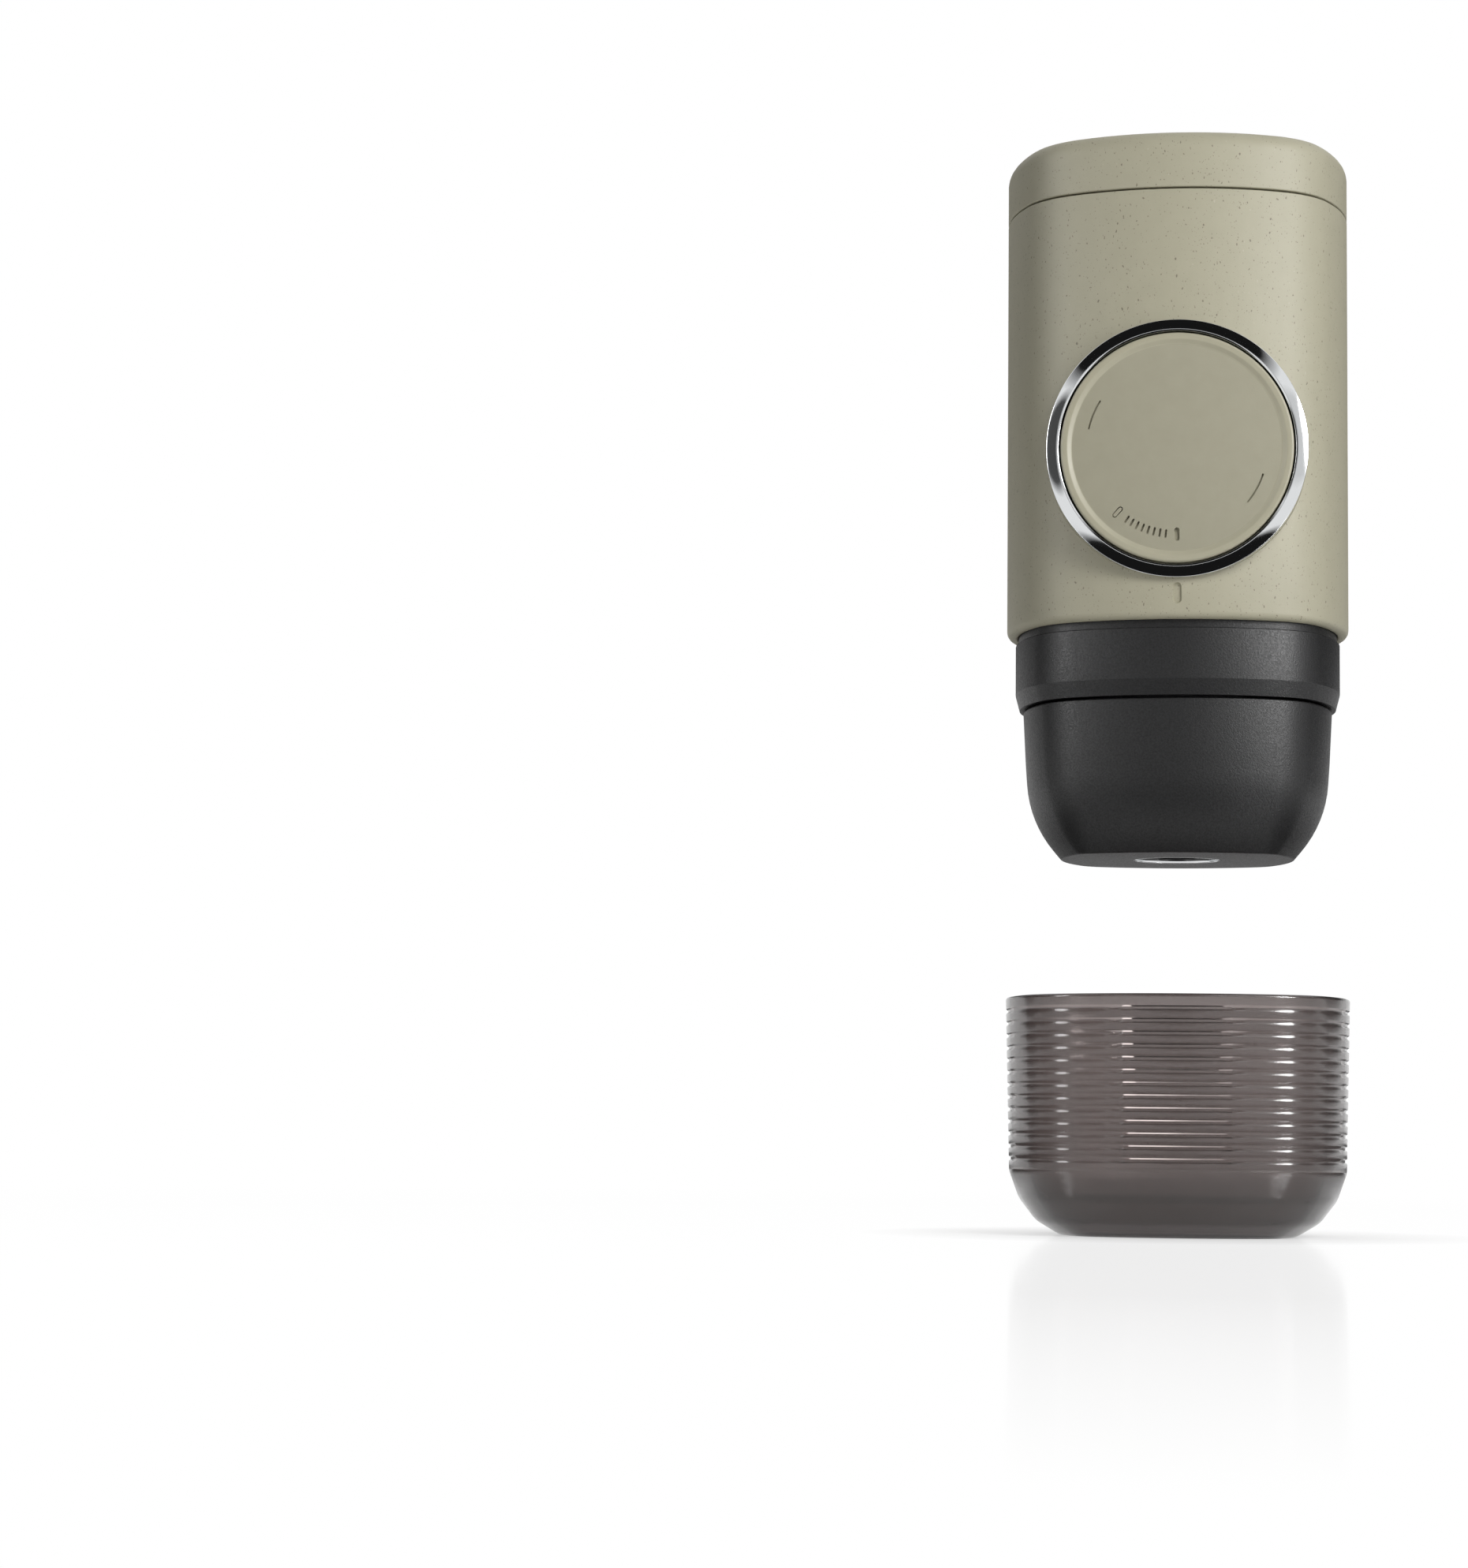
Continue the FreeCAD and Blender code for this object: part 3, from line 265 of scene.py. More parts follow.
def addNode(tree, kind, settings=None, links=None):
    node = tree.nodes.new(kind)
    for key, value in (settings or {}).items():
        if isinstance(key, int) or key in node.inputs:
            node.inputs[key].default_value = value
        else:
            setattr(node, key, value)
    for key, socket in (links or {}).items():
        tree.links.new(socket, node.inputs[key])
    return node


def newMaterial(name):
    material = bpy.data.materials.new(name)
    material.use_nodes = True
    return material, material.node_tree, material.node_tree.nodes["Principled BSDF"]


def perMetre(sizeInMm):
    # texture scale for a pattern that repeats every so many millimetres
    return 1 / (sizeInMm * mm)


# sizes are in millimetres, and the depths of relief and warp in metres
bioplastic = {"colour": "#ABA792", "mottleDark": "#A39F8A", "fleck": "#4A4335", "paleFleck": "#BFBBA8",
              "roughness": 0.55, "ior": 1.49, "grain": 0.2, "relief": 0.22, "reliefDeep": 0.00006,
              "mottle": 3.2, "fleckCell": 0.6, "fleckSize": 0.07, "fleckEdge": 0.035, "fleckShare": 1.7,
              "fleckSquash": 0.55, "warp": 0.9, "warpDeep": 0.0006}
# tone, cell and size against the main layer's, turn and strength
fleckLayers = (("fleck", 1.5, 1.3, 0.6, 0.6), ("fleck", 1.0, 1.0, 2.3, 0.5),
               ("fleck", 0.6, 0.7, -0.9, 0.4), ("paleFleck", 1.6, 1.0, 1.7, 0.4))


def makeSpeckledBioplastic(name, flecks=1.0, roughness=None, shade=1.0):
    # plant-fibre filled polypropylene, spark-eroded mould: matte, softly mottled, with short brown fibres
    material, tree, shader = newMaterial(name)
    place = addNode(tree, "ShaderNodeTexCoord").outputs["Object"]
    mottle = addNode(tree, "ShaderNodeTexNoise", {"Scale": perMetre(bioplastic["mottle"]), "Detail": 3.0,
                                                  "Roughness": 0.6}, {"Vector": place})
    # a shade below 1 darkens every tone; it is painted shade, as on the knob's face
    dark, light = (tuple(channel * shade for channel in linear(bioplastic[tone])[:3]) + (1.0,)
                   for tone in ("mottleDark", "colour"))
    ground = addNode(tree, "ShaderNodeMix", {"data_type": "RGBA", 6: dark, 7: light},
                     {0: mottle.outputs["Fac"]})
    colour = ground.outputs[2]
    for tone, cellShare, sizeShare, turn, strength in fleckLayers if flecks else ():
        cell, size = bioplastic["fleckCell"] * cellShare, bioplastic["fleckSize"] * sizeShare
        warp = addNode(tree, "ShaderNodeTexNoise", {"Scale": perMetre(bioplastic["warp"]), "Detail": 1.0},
                       {"Vector": place})
        shift = addNode(tree, "ShaderNodeVectorMath", {"operation": "SCALE",
                                                       "Scale": bioplastic["warpDeep"]},
                        {0: warp.outputs["Color"]})
        bent = addNode(tree, "ShaderNodeVectorMath", {"operation": "ADD"}, {0: place, 1: shift.outputs[0]})
        turned = addNode(tree, "ShaderNodeMapping", {"Rotation": (turn, turn * 0.7, turn),
                                                     "Scale": (1, 1, bioplastic["fleckSquash"])},
                         {"Vector": bent.outputs[0]})
        cells = addNode(tree, "ShaderNodeTexVoronoi", {"Scale": perMetre(cell), "Randomness": 1.0},
                        {"Vector": turned.outputs[0]})
        chance = addNode(tree, "ShaderNodeSeparateColor", links={"Color": cells.outputs["Color"]})
        reach = addNode(tree, "ShaderNodeMath", {"operation": "MULTIPLY",
                                                 1: size / cell * bioplastic["fleckShare"]},
                        {0: chance.outputs[0]})
        inside = addNode(tree, "ShaderNodeMath", {"operation": "SUBTRACT"},
                         {0: reach.outputs[0], 1: cells.outputs["Distance"]})
        spot = addNode(tree, "ShaderNodeMapRange", {"From Min": 0.0, "From Max": bioplastic["fleckEdge"],
                                                    "To Min": 0.0, "To Max": strength * flecks},
                       {"Value": inside.outputs[0]})
        colour = addNode(tree, "ShaderNodeMix", {"data_type": "RGBA", 7: linear(bioplastic[tone])},
                         {0: spot.outputs[0], 6: colour}).outputs[2]
    tree.links.new(colour, shader.inputs["Base Color"])
    grain = addNode(tree, "ShaderNodeTexNoise", {"Scale": perMetre(bioplastic["grain"]), "Detail": 2.0},
                    {"Vector": place})
    bump = addNode(tree, "ShaderNodeBump", {"Strength": bioplastic["relief"],
                                            "Distance": bioplastic["reliefDeep"]},
                   {"Height": grain.outputs["Fac"]})
    tree.links.new(bump.outputs[0], shader.inputs["Normal"])
    shader.inputs["Roughness"].default_value = roughness or bioplastic["roughness"]
    shader.inputs["IOR"].default_value = bioplastic["ior"]
    return material


blackAbs = {"low": "#0C0C0D", "high": "#1F1F20", "roughness": 0.45, "rougher": 0.08, "smoother": 0.06,
            "specular": 0.45, "grain": 0.34, "peakLow": 0.35, "peakHigh": 0.65, "relief": 0.8,
            "reliefDeep": 0.00002}


def makeSatinBlackAbs():
    # ABS from a finely etched mould: near black, satin, with a close even grain
    material, tree, shader = newMaterial("satinBlackAbs")
    place = addNode(tree, "ShaderNodeTexCoord").outputs["Object"]
    grain = addNode(tree, "ShaderNodeTexNoise", {"Scale": perMetre(blackAbs["grain"]), "Detail": 3.0,
                                                 "Roughness": 0.7}, {"Vector": place})
    peaks = addNode(tree, "ShaderNodeMapRange", {"From Min": blackAbs["peakLow"],
                                                 "From Max": blackAbs["peakHigh"]},
                    {"Value": grain.outputs["Fac"]})
    bump = addNode(tree, "ShaderNodeBump", {"Strength": blackAbs["relief"],
                                            "Distance": blackAbs["reliefDeep"]},
                   {"Height": peaks.outputs[0]})
    gloss = addNode(tree, "ShaderNodeMapRange", {"To Min": blackAbs["roughness"] + blackAbs["rougher"],
                                                 "To Max": blackAbs["roughness"] - blackAbs["smoother"]},
                    {"Value": peaks.outputs[0]})
    tone = addNode(tree, "ShaderNodeMix", {"data_type": "RGBA", 6: linear(blackAbs["low"]),
                                           7: linear(blackAbs["high"])}, {0: peaks.outputs[0]})
    tree.links.new(tone.outputs[2], shader.inputs["Base Color"])
    tree.links.new(gloss.outputs[0], shader.inputs["Roughness"])
    tree.links.new(bump.outputs[0], shader.inputs["Normal"])
    shader.inputs["Specular IOR Level"].default_value = blackAbs["specular"]
    return material


def makeSimple(name, hexColour, roughness, metallic=0.0, ior=1.5, grain=0.4, bumpStrength=0.1, wander=0.06,
               specular=0.5, smoothest=0.02, reliefDeep=0.00003):
    # a plain moulded, turned or plated finish, with its gloss wandering a little over the surface
    material, tree, shader = newMaterial(name)
    place = addNode(tree, "ShaderNodeTexCoord").outputs["Object"]
    noise = addNode(tree, "ShaderNodeTexNoise", {"Scale": perMetre(grain), "Detail": 3.0},
                    {"Vector": place})
    gloss = addNode(tree, "ShaderNodeMapRange", {"To Min": max(roughness - wander, smoothest),
                                                 "To Max": roughness + wander},
                    {"Value": noise.outputs["Fac"]})
    bump = addNode(tree, "ShaderNodeBump", {"Strength": bumpStrength, "Distance": reliefDeep},
                   {"Height": noise.outputs["Fac"]})
    tree.links.new(gloss.outputs[0], shader.inputs["Roughness"])
    tree.links.new(bump.outputs[0], shader.inputs["Normal"])
    shader.inputs["Base Color"].default_value = linear(hexColour)
    shader.inputs["Metallic"].default_value = metallic
    if not metallic:
        shader.inputs["IOR"].default_value = ior
        shader.inputs["Specular IOR Level"].default_value = specular
    return material


steel = {"colour": "#BFBEBA", "smooth": 0.22, "rough": 0.4, "lines": 0.12, "stretch": 0.08, "relief": 0.15,
         "reliefDeep": 0.00002}


def makeBrushedStainless():
    # stainless steel with fine turning marks: the grain is stretched round the part
    material, tree, shader = newMaterial("brushedStainless")
    place = addNode(tree, "ShaderNodeTexCoord").outputs["Object"]
    stretched = addNode(tree, "ShaderNodeMapping", {"Scale": (steel["stretch"], 1.0, 1.0)},
                        {"Vector": place})
    lines = addNode(tree, "ShaderNodeTexNoise", {"Scale": perMetre(steel["lines"]), "Detail": 2.0},
                    {"Vector": stretched.outputs[0]})
    gloss = addNode(tree, "ShaderNodeMapRange", {"To Min": steel["smooth"], "To Max": steel["rough"]},
                    {"Value": lines.outputs["Fac"]})
    bump = addNode(tree, "ShaderNodeBump", {"Strength": steel["relief"], "Distance": steel["reliefDeep"]},
                   {"Height": lines.outputs["Fac"]})
    tree.links.new(gloss.outputs[0], shader.inputs["Roughness"])
    tree.links.new(bump.outputs[0], shader.inputs["Normal"])
    shader.inputs["Base Color"].default_value = linear(steel["colour"])
    shader.inputs["Metallic"].default_value = 1.0
    return material


smoky = {"colour": "#CFC9C7", "roughness": 0.13, "smoother": 0.04, "rougher": 0.08, "flow": 6,
         "transmission": 0.95, "ior": 1.54, "passed": (0.112, 0.014, 0.0, 1.0), "absorption": 800.0}


def makeSmokyCopolyester():
    # tinted clear copolyester, injection moulded: smoky brown-grey, glossy, see-through at the walls
    material, tree, shader = newMaterial("smokyCopolyester")
    place = addNode(tree, "ShaderNodeTexCoord").outputs["Object"]
    flow = addNode(tree, "ShaderNodeTexNoise", {"Scale": perMetre(smoky["flow"]), "Detail": 2.0},
                   {"Vector": place})
    gloss = addNode(tree, "ShaderNodeMapRange", {"To Min": smoky["roughness"] - smoky["smoother"],
                                                 "To Max": smoky["roughness"] + smoky["rougher"]},
                    {"Value": flow.outputs["Fac"]})
    tree.links.new(gloss.outputs[0], shader.inputs["Roughness"])
    shader.inputs["Base Color"].default_value = linear(smoky["colour"])
    shader.inputs["Transmission Weight"].default_value = smoky["transmission"]
    shader.inputs["IOR"].default_value = smoky["ior"]
    depth = addNode(tree, "ShaderNodeVolumeAbsorption", {"Color": smoky["passed"],
                                                         "Density": smoky["absorption"]})
    tree.links.new(depth.outputs[0], tree.nodes["Material Output"].inputs["Volume"])
    return material


sage = makeSpeckledBioplastic("speckledSageBioplastic")
sagePlain = makeSpeckledBioplastic("smoothSageBioplastic", flecks=0.0, roughness=0.42)
# the knob face: a rougher etched finish, darkened to 0.86 as painted shade standing in for the shade that
# falls across the face
sageEtchedPaintedShade = makeSpeckledBioplastic("etchedSageBioplasticPaintedShade", flecks=0.0, roughness=0.62, shade=0.86)
black = makeSatinBlackAbs()
chrome = makeSimple("polishedChromePlate", "#DADCDD", 0.06, metallic=1.0, grain=3.0, bumpStrength=0.02,
                    wander=0.02)
stainless = makeBrushedStainless()
silicone = makeSimple("mouldedSilicone", "#2B2B2D", 0.62, ior=1.41, grain=0.5, bumpStrength=0.2)
darkPolypropylene = makeSimple("greyPolypropylene", "#4A4A4D", 0.42, grain=0.6, bumpStrength=0.15)
glossBlack = makeSimple("glossBlackAcetal", "#141415", 0.22, grain=1.2, bumpStrength=0.05)
dullBlack = makeSimple("dullBlackAcetal", "#121213", 0.55, specular=0.08)
smokyClear = makeSmokyCopolyester()
print("materials made")


# ---- the machine

plain, panelled = outlineColumns(), outlineColumns(panelled=True)
shell = {"wall": 2.0, "footRound": 1.2, "innerRound": 0.4, "lipRound": 0.22, "stepRound": 0.1,
         "rebateInset": 1.0, "rebateDeep": 1.6}
ringFit = {"outer": 21.8, "inner": 19.7, "back": 28.6, "wellOuter": 20.7, "stubBack": 18.0,
           "edgeRound": 0.1, "holeBack": 16.0, "holeFront": 40.0}
indexSlot = {"low": 3.2, "high": 5.2, "round": 0.8, "deep": 0.5, "slope": 0.25, "cutTall": 3,
             "segments": 32}


def buildShell():
    bm = bmesh.new()
    wall, inset, step = shell["wall"], shell["rebateInset"], shellTall - shell["rebateDeep"]
    path = softened([(0, 0, shell["footRound"]), (0, shellTall, shell["lipRound"]),
                     (inset, shellTall, shell["stepRound"]), (inset, step, 0),
                     (wall, step, shell["stepRound"]), (wall, 0, shell["innerRound"])])
    sweepOutline(bm, plain, square(path), closed=True)
    hole = bmesh.new()
    lathe(hole, [(0, ringFit["holeBack"]), (ringFit["outer"], ringFit["holeBack"]),
                 (ringFit["outer"], ringFit["holeFront"]), (0, ringFit["holeFront"])], closed=False)
    faceUser(hole)
    lift(hole, knobLevel - shellFoot)
    cutAway(bm, hole)
    slot = bmesh.new()
    bmesh.ops.create_circle(slot, cap_ends=True, segments=indexSlot["segments"],
                            radius=indexSlot["round"] * mm)
    upper = [vert for vert in slot.verts if vert.co.y > 0]
    bmesh.ops.translate(slot, verts=upper, vec=Vector((0, (indexSlot["high"] - indexSlot["low"]) * mm, 0)))
    thicken(slot, indexSlot["cutTall"])
    bottom = min(slot.faces, key=lambda face: face.calc_center_median().z)
    bmesh.ops.inset_region(slot, faces=[bottom], thickness=indexSlot["slope"] * mm)
    bmesh.ops.translate(slot, verts=bottom.verts, vec=Vector((0, 0, -indexSlot["deep"] * mm)))
    faceUser(slot)
    bmesh.ops.translate(slot, verts=slot.verts, vec=Vector((0, -outline["half"], indexSlot["low"])) * mm)
    cutAway(bm, slot)
    toMachine(bm)
    addPiece("shellSkin", bm, sage, "machine", ["outer_shell"])
    boss = bmesh.new()
    lathe(boss, softened([(ringFit["wellOuter"], ringFit["stubBack"], 0),
                          (ringFit["outer"], ringFit["stubBack"], 0),
                          (ringFit["outer"], ringFit["back"], ringFit["edgeRound"]),
                          (ringFit["wellOuter"], ringFit["back"], 0)]))
    toPumpAxis(boss)
    addPiece("knobBoss", boss, sage, "machine")


bezel = {"front": 31.2, "side": 30.5, "lip": 0.35, "lipDrop": 0.15, "round": 0.18, "edgeRound": 0.1}


def buildBezel():
    bm = bmesh.new()
    inner, outer, edge = ringFit["inner"], ringFit["outer"], bezel["edgeRound"]
    path = softened([(inner, ringFit["back"], 0), (outer, ringFit["back"], edge),
                     (outer, bezel["side"], bezel["round"]),
                     (inner + bezel["lip"], bezel["front"], bezel["round"]),
                     (inner, bezel["front"] - bezel["lipDrop"], edge)], steps=5)
    lathe(bm, path, steps=192)
    toPumpAxis(bm)
    addPiece("bezelRing", bm, chrome, "machine", ["bezel_ring"])


knob = {"radius": 19.4, "face": 31.4, "faceRound": 0.45, "skirtBack": 17.4, "skirtInner": 17.9,
        "inside": 29.4, "hubOuter": 5.4, "hubBore": 4.05, "hubBack": 22.0, "dish": 0.4, "dishRadius": 17.5,
        "dishRound": 0.7, "rimRadius": 18.3, "domeRise": 0.95, "domeRadius": 160.0, "backRound": 0.2,
        "insideRound": 0.5, "boreRound": 0.1}
dial = {"deep": 0.7, "radius": 14.7, "barLong": 2.2, "barWide": 0.86, "barSegments": 24, "tickLong": 1.4,
        "tickWide": 0.34, "tickStart": 7.2, "tickStep": 3.87, "ticks": 8, "openAngle": 42.0, "line": 0.17,
        "dashRadius": 15.0, "dashWide": 0.28, "dashSteps": 10, "dashes": ((-72, -51), (102, 122)),
        "cutTall": 2, "floorSlack": 0.1}


def stampInto(stamp, shape, angle):
    # turns a flat mark to its place on the dial, gives it height and adds it to the stamp
    turn = Matrix.Rotation(-math.radians(angle), 3, "Z")
    bmesh.ops.rotate(shape, verts=shape.verts, cent=Vector(), matrix=turn)
    bmesh.ops.translate(shape, verts=shape.verts, vec=zAxis * (knob["face"] - dial["deep"]) * mm)
    thicken(shape, dial["cutTall"])
    mesh = bpy.data.meshes.new("mark")
    shape.to_mesh(mesh)
    shape.free()
    stamp.from_mesh(mesh)
    bpy.data.meshes.remove(mesh)


def stampBar(stamp, angle, long, wide, line=0.0):
    # a round-ended bar, counted in degrees from straight down towards -X; with a line it is an outline
    bar = bmesh.new()
    bmesh.ops.create_circle(bar, cap_ends=True, segments=dial["barSegments"], radius=wide / 2 * mm)
    for vert in bar.verts:
        vert.co.y += math.copysign((long - wide) / 2 * mm, vert.co.y)
    if line:
        bmesh.ops.inset_region(bar, faces=bar.faces[:], thickness=line * mm, use_boundary=True)
        middleFace = max(bar.faces, key=lambda face: len(face.verts))
        bmesh.ops.delete(bar, geom=[middleFace], context="FACES_ONLY")
    bmesh.ops.translate(bar, verts=bar.verts, vec=Vector((0, -dial["radius"] * mm, 0)))
    stampInto(stamp, bar, angle)


def stampDash(stamp, start, end):
    # a thin arc of the dial circle
    dash = bmesh.new()
    ends = [dash.verts.new(Vector((0, -dial["dashRadius"] + side * dial["dashWide"] / 2, 0)) * mm)
            for side in (1, -1)]
    line = dash.edges.new(ends)
    bmesh.ops.spin(dash, geom=ends + [line], cent=Vector(), axis=zAxis, angle=-math.radians(end - start),
                   steps=dial["dashSteps"])
    stampInto(stamp, dash, start)


def buildKnob():
    bm = bmesh.new()
    face, dish, back, inner = knob["face"], knob["dish"], knob["backRound"], knob["insideRound"]
    dome = face - dish + knob["domeRise"]
    path = softened([(0, dome, 0), (knob["dishRadius"] / 2, dome, knob["domeRadius"]),
                     (knob["dishRadius"], face - dish, knob["dishRound"]),
                     (knob["rimRadius"], face, knob["dishRound"]),
                     (knob["radius"], face, knob["faceRound"]),
                     (knob["radius"], knob["skirtBack"], back),
                     (knob["skirtInner"], knob["skirtBack"], back),
                     (knob["skirtInner"], knob["inside"], inner),
                     (knob["hubOuter"], knob["inside"], inner),
                     (knob["hubOuter"], knob["hubBack"], back),
                     (knob["hubBore"], knob["hubBack"], knob["boreRound"]),
                     (knob["hubBore"], knob["inside"], 0), (0, knob["inside"], 0)], closed=False, steps=8)
    lathe(bm, path, closed=False, steps=160)
    stamp = bmesh.new()
    stampBar(stamp, 0, dial["barLong"], dial["barWide"])
    stampBar(stamp, dial["openAngle"], dial["barLong"], dial["barWide"], dial["line"])
    for tick in range(dial["ticks"]):
        stampBar(stamp, dial["tickStart"] + tick * dial["tickStep"], dial["tickLong"], dial["tickWide"])
    for start, end in dial["dashes"]:
        stampDash(stamp, start, end)
    cutAway(bm, stamp)
    # many-sided faces round the marks would shade with hooks
    bmesh.ops.triangulate(bm, faces=[flat for flat in bm.faces if len(flat.verts) > 4])
    # the dome face and its marks take the rougher finish darkened with painted shade; the rim band stays
    # lighter
    for facet in bm.faces:
        centre = facet.calc_center_median() / mm
        raised = centre.z > face - dial["deep"] - dial["floorSlack"]
        facet.material_index = int(raised and centre.xy.length < knob["dishRadius"])
    toPumpAxis(bm)
    addPiece("knobCap", bm, sagePlain, "knob", ["pump_knob"], second=sageEtchedPaintedShade)


collar = {"foot": -12.6, "footInset": 2.2, "slopeTop": -9.9, "slopeRound": 0.5, "inset": 1.5,
          "bandLow": -1.3, "bandInset": 2.0, "bandRound": 0.2, "deckTop": 2.0, "deckLow": -3.0,
          "mouth": 25.0, "seat": 26.0, "seatTop": -9.5, "screwPlace": 15.2, "screwSeat": 2.3,
          "screwSeatTop": -1.0, "screwReach": 2, "screwSteps": 40}


def buildCollar():
    bm = bmesh.new()
    path = softened([(collar["footInset"], collar["foot"], 0),
                     (collar["inset"], collar["slopeTop"], collar["slopeRound"]),
                     (collar["inset"], collar["bandLow"], collar["bandRound"]),
                     (collar["bandInset"], collar["bandLow"], 0),
                     (collar["bandInset"], collar["deckTop"], 0)], closed=False)
    mouth = ((collar["mouth"], collar["deckLow"]), (collar["mouth"], collar["seatTop"]),
             (collar["seat"], collar["seatTop"]), (collar["seat"], collar["foot"]))
    sweepOutline(bm, plain, rounds(mouth) + square(path), capFirst=True, capLast=True)
    for quarter in range(4):
        seat = bmesh.new()
        low = collar["deckLow"] - collar["screwReach"]
        lathe(seat, [(0, collar["screwSeatTop"]), (collar["screwSeat"], collar["screwSeatTop"]),
                     (collar["screwSeat"], low), (0, low)], closed=False, steps=collar["screwSteps"])
        across = Vector((collar["screwPlace"], collar["screwPlace"], 0))
        spot = Matrix.Rotation(quarter * math.pi / 2, 3, "Z") @ across
        bmesh.ops.translate(seat, verts=seat.verts, vec=spot * mm)
        cutAway(bm, seat)
    toMachine(bm)
    addPiece("collarSkirt", bm, black, "machine", ["lower_collar"])


head = {"base": -38.5, "baseInset": 9.5, "baseRound": 0.6, "baseLip": 3, "turn": -31.9, "turnInset": 3.97,
        "turnRound": 20.0, "side": -22.0, "sideInset": 3.3, "sideRound": 30.0, "top": -12.9,
        "topInset": 2.85, "topRound": 0.35, "topLip": 0.8, "neck": 24.6, "neckTop": -3.4, "neckRound": 0.4,
        "bore": 22.0, "boreLow": -28.0, "boreRound": 0.8, "seat": 17.4, "floor": -33.5, "recess": 7.5,
        "recessTop": -37.3, "recessRound": 0.2}


def buildHead():
    bm = bmesh.new()
    under = softened([(head["recess"], head["recessTop"], 0),
                      (head["recess"], head["base"], head["recessRound"]),
                      (head["recess"] + head["baseLip"], head["base"], 0)], closed=False)
    side = softened([(head["baseInset"] + head["baseLip"], head["base"], 0),
                     (head["baseInset"], head["base"], head["baseRound"]),
                     (head["turnInset"], head["turn"], head["turnRound"]),
                     (head["sideInset"], head["side"], head["sideRound"]),
                     (head["topInset"], head["top"], head["topRound"]),
                     (head["topInset"] + head["topLip"], head["top"], 0)], closed=False, steps=8)
    neck = softened([(head["neck"], head["top"], 0), (head["neck"], head["neckTop"], head["neckRound"]),
                     (head["bore"], head["neckTop"], head["neckRound"]),
                     (head["bore"], head["boreLow"], head["boreRound"]),
                     (head["seat"], head["boreLow"], head["neckRound"]),
                     (head["seat"], head["floor"], 0)], closed=False)
    sweepOutline(bm, plain, rounds(under) + square(side) + rounds(neck), capFirst=True, capLast=True)
    toMachine(bm)
    addPiece("outletBowl", bm, black, "head", ["outlet_head"])


nozzle = {"stem": 3.5, "rimOuter": 7.5, "rimInner": 7.1, "rimFace": -38.5, "rimRound": 0.1, "back": -37.3,
          "face": -38.1, "faceRound": 0.15, "spout": 3.0, "spoutFlare": 0.4, "spoutTip": -38.4,
          "tipRound": 0.2, "bore": 1.2, "boreLip": 0.5}


def buildNozzle():
    bm = bmesh.new()
    tip, tipRound = nozzle["spoutTip"], nozzle["tipRound"]
    lathe(bm, softened([(nozzle["bore"], head["floor"], 0), (nozzle["stem"], head["floor"], 0),
                        (nozzle["stem"], nozzle["back"], 0), (nozzle["rimInner"], nozzle["back"], 0),
                        (nozzle["rimInner"], nozzle["face"], nozzle["faceRound"]),
                        (nozzle["spout"] + nozzle["spoutFlare"], nozzle["face"], tipRound),
                        (nozzle["spout"], tip, tipRound),
                        (nozzle["bore"] + nozzle["boreLip"], tip, tipRound),
                        (nozzle["bore"], tip + nozzle["boreLip"], 0)]))
    toMachine(bm)
    addPiece("spoutInsert", bm, dullBlack, "head", ["outlet_nozzle"])
    rim = bmesh.new()
    lathe(rim, softened([(nozzle["rimInner"], nozzle["back"], 0), (nozzle["rimOuter"], nozzle["back"], 0),
                         (nozzle["rimOuter"], nozzle["rimFace"], nozzle["rimRound"]),
                         (nozzle["rimInner"], nozzle["rimFace"], nozzle["rimRound"])]))
    toMachine(rim)
    addPiece("spoutRim", rim, chrome, "head", ["nozzle_rim"])


gasket = {"inner": 24.65, "outer": 25.7, "low": -12.85, "high": -10.1, "innerRound": 0.2, "outerRound": 0.4}


def buildGasket():
    bm = bmesh.new()
    lathe(bm, softened([(gasket["inner"], gasket["low"], gasket["innerRound"]),
                        (gasket["outer"], gasket["low"], gasket["outerRound"]),
                        (gasket["outer"], gasket["high"], gasket["outerRound"]),
                        (gasket["inner"], gasket["high"], gasket["innerRound"])]))
    toMachine(bm)
    addPiece("headSeal", bm, silicone, "head_slide", ["head_gasket"])


holder = {"top": -7.1, "mouth": 15.6, "lip": 19.0, "lipLow": -8.3, "outer": 17.0, "bottom": -31.7,
          "hole": 12.0, "ledge": -30.5, "foot": 14.0, "edgeRound": 0.3, "footRound": 0.5, "ledgeRound": 0.2}


def buildHolder():
    bm = bmesh.new()
    edge = holder["edgeRound"]
    lathe(bm, softened([(holder["mouth"], holder["top"], edge), (holder["lip"], holder["top"], edge),
                        (holder["lip"], holder["lipLow"], edge), (holder["outer"], holder["lipLow"], edge),
                        (holder["outer"], holder["bottom"], holder["footRound"]),
                        (holder["hole"], holder["bottom"], edge),
                        (holder["hole"], holder["ledge"], holder["ledgeRound"]),
                        (holder["foot"], holder["ledge"], holder["footRound"])]))
    toMachine(bm)
    addPiece("capsuleBasket", bm, darkPolypropylene, "holder", ["capsule_holder"])


# shoulders give the inset, the level against the crown and the corner's radius, and crown rings
# their size against the crown's edge and their rise over it
lid = {"seam": 0.3, "lip": 0.22, "sideTop": 9.7, "crown": 11.0, "crownInset": 14.0, "edgeRound": 3.0,
       "shoulders": ((3.0, -0.7, 5.0), (8.0, -0.25, 10.0)),
       "crownRings": ((0.7, 0.08), (0.5, 0.12), (0.3, 0.14)),
       "plugInset": 4.1, "plugLow": -6.0, "plugWall": 1.6, "plugRound": 0.5, "wallRound": 0.3,
       "cavityTop": 8.0, "sealSeat": 4.8, "sealInset": 3.8, "sealLow": -4.0, "sealHigh": -2.4,
       "sealRound": 0.4}


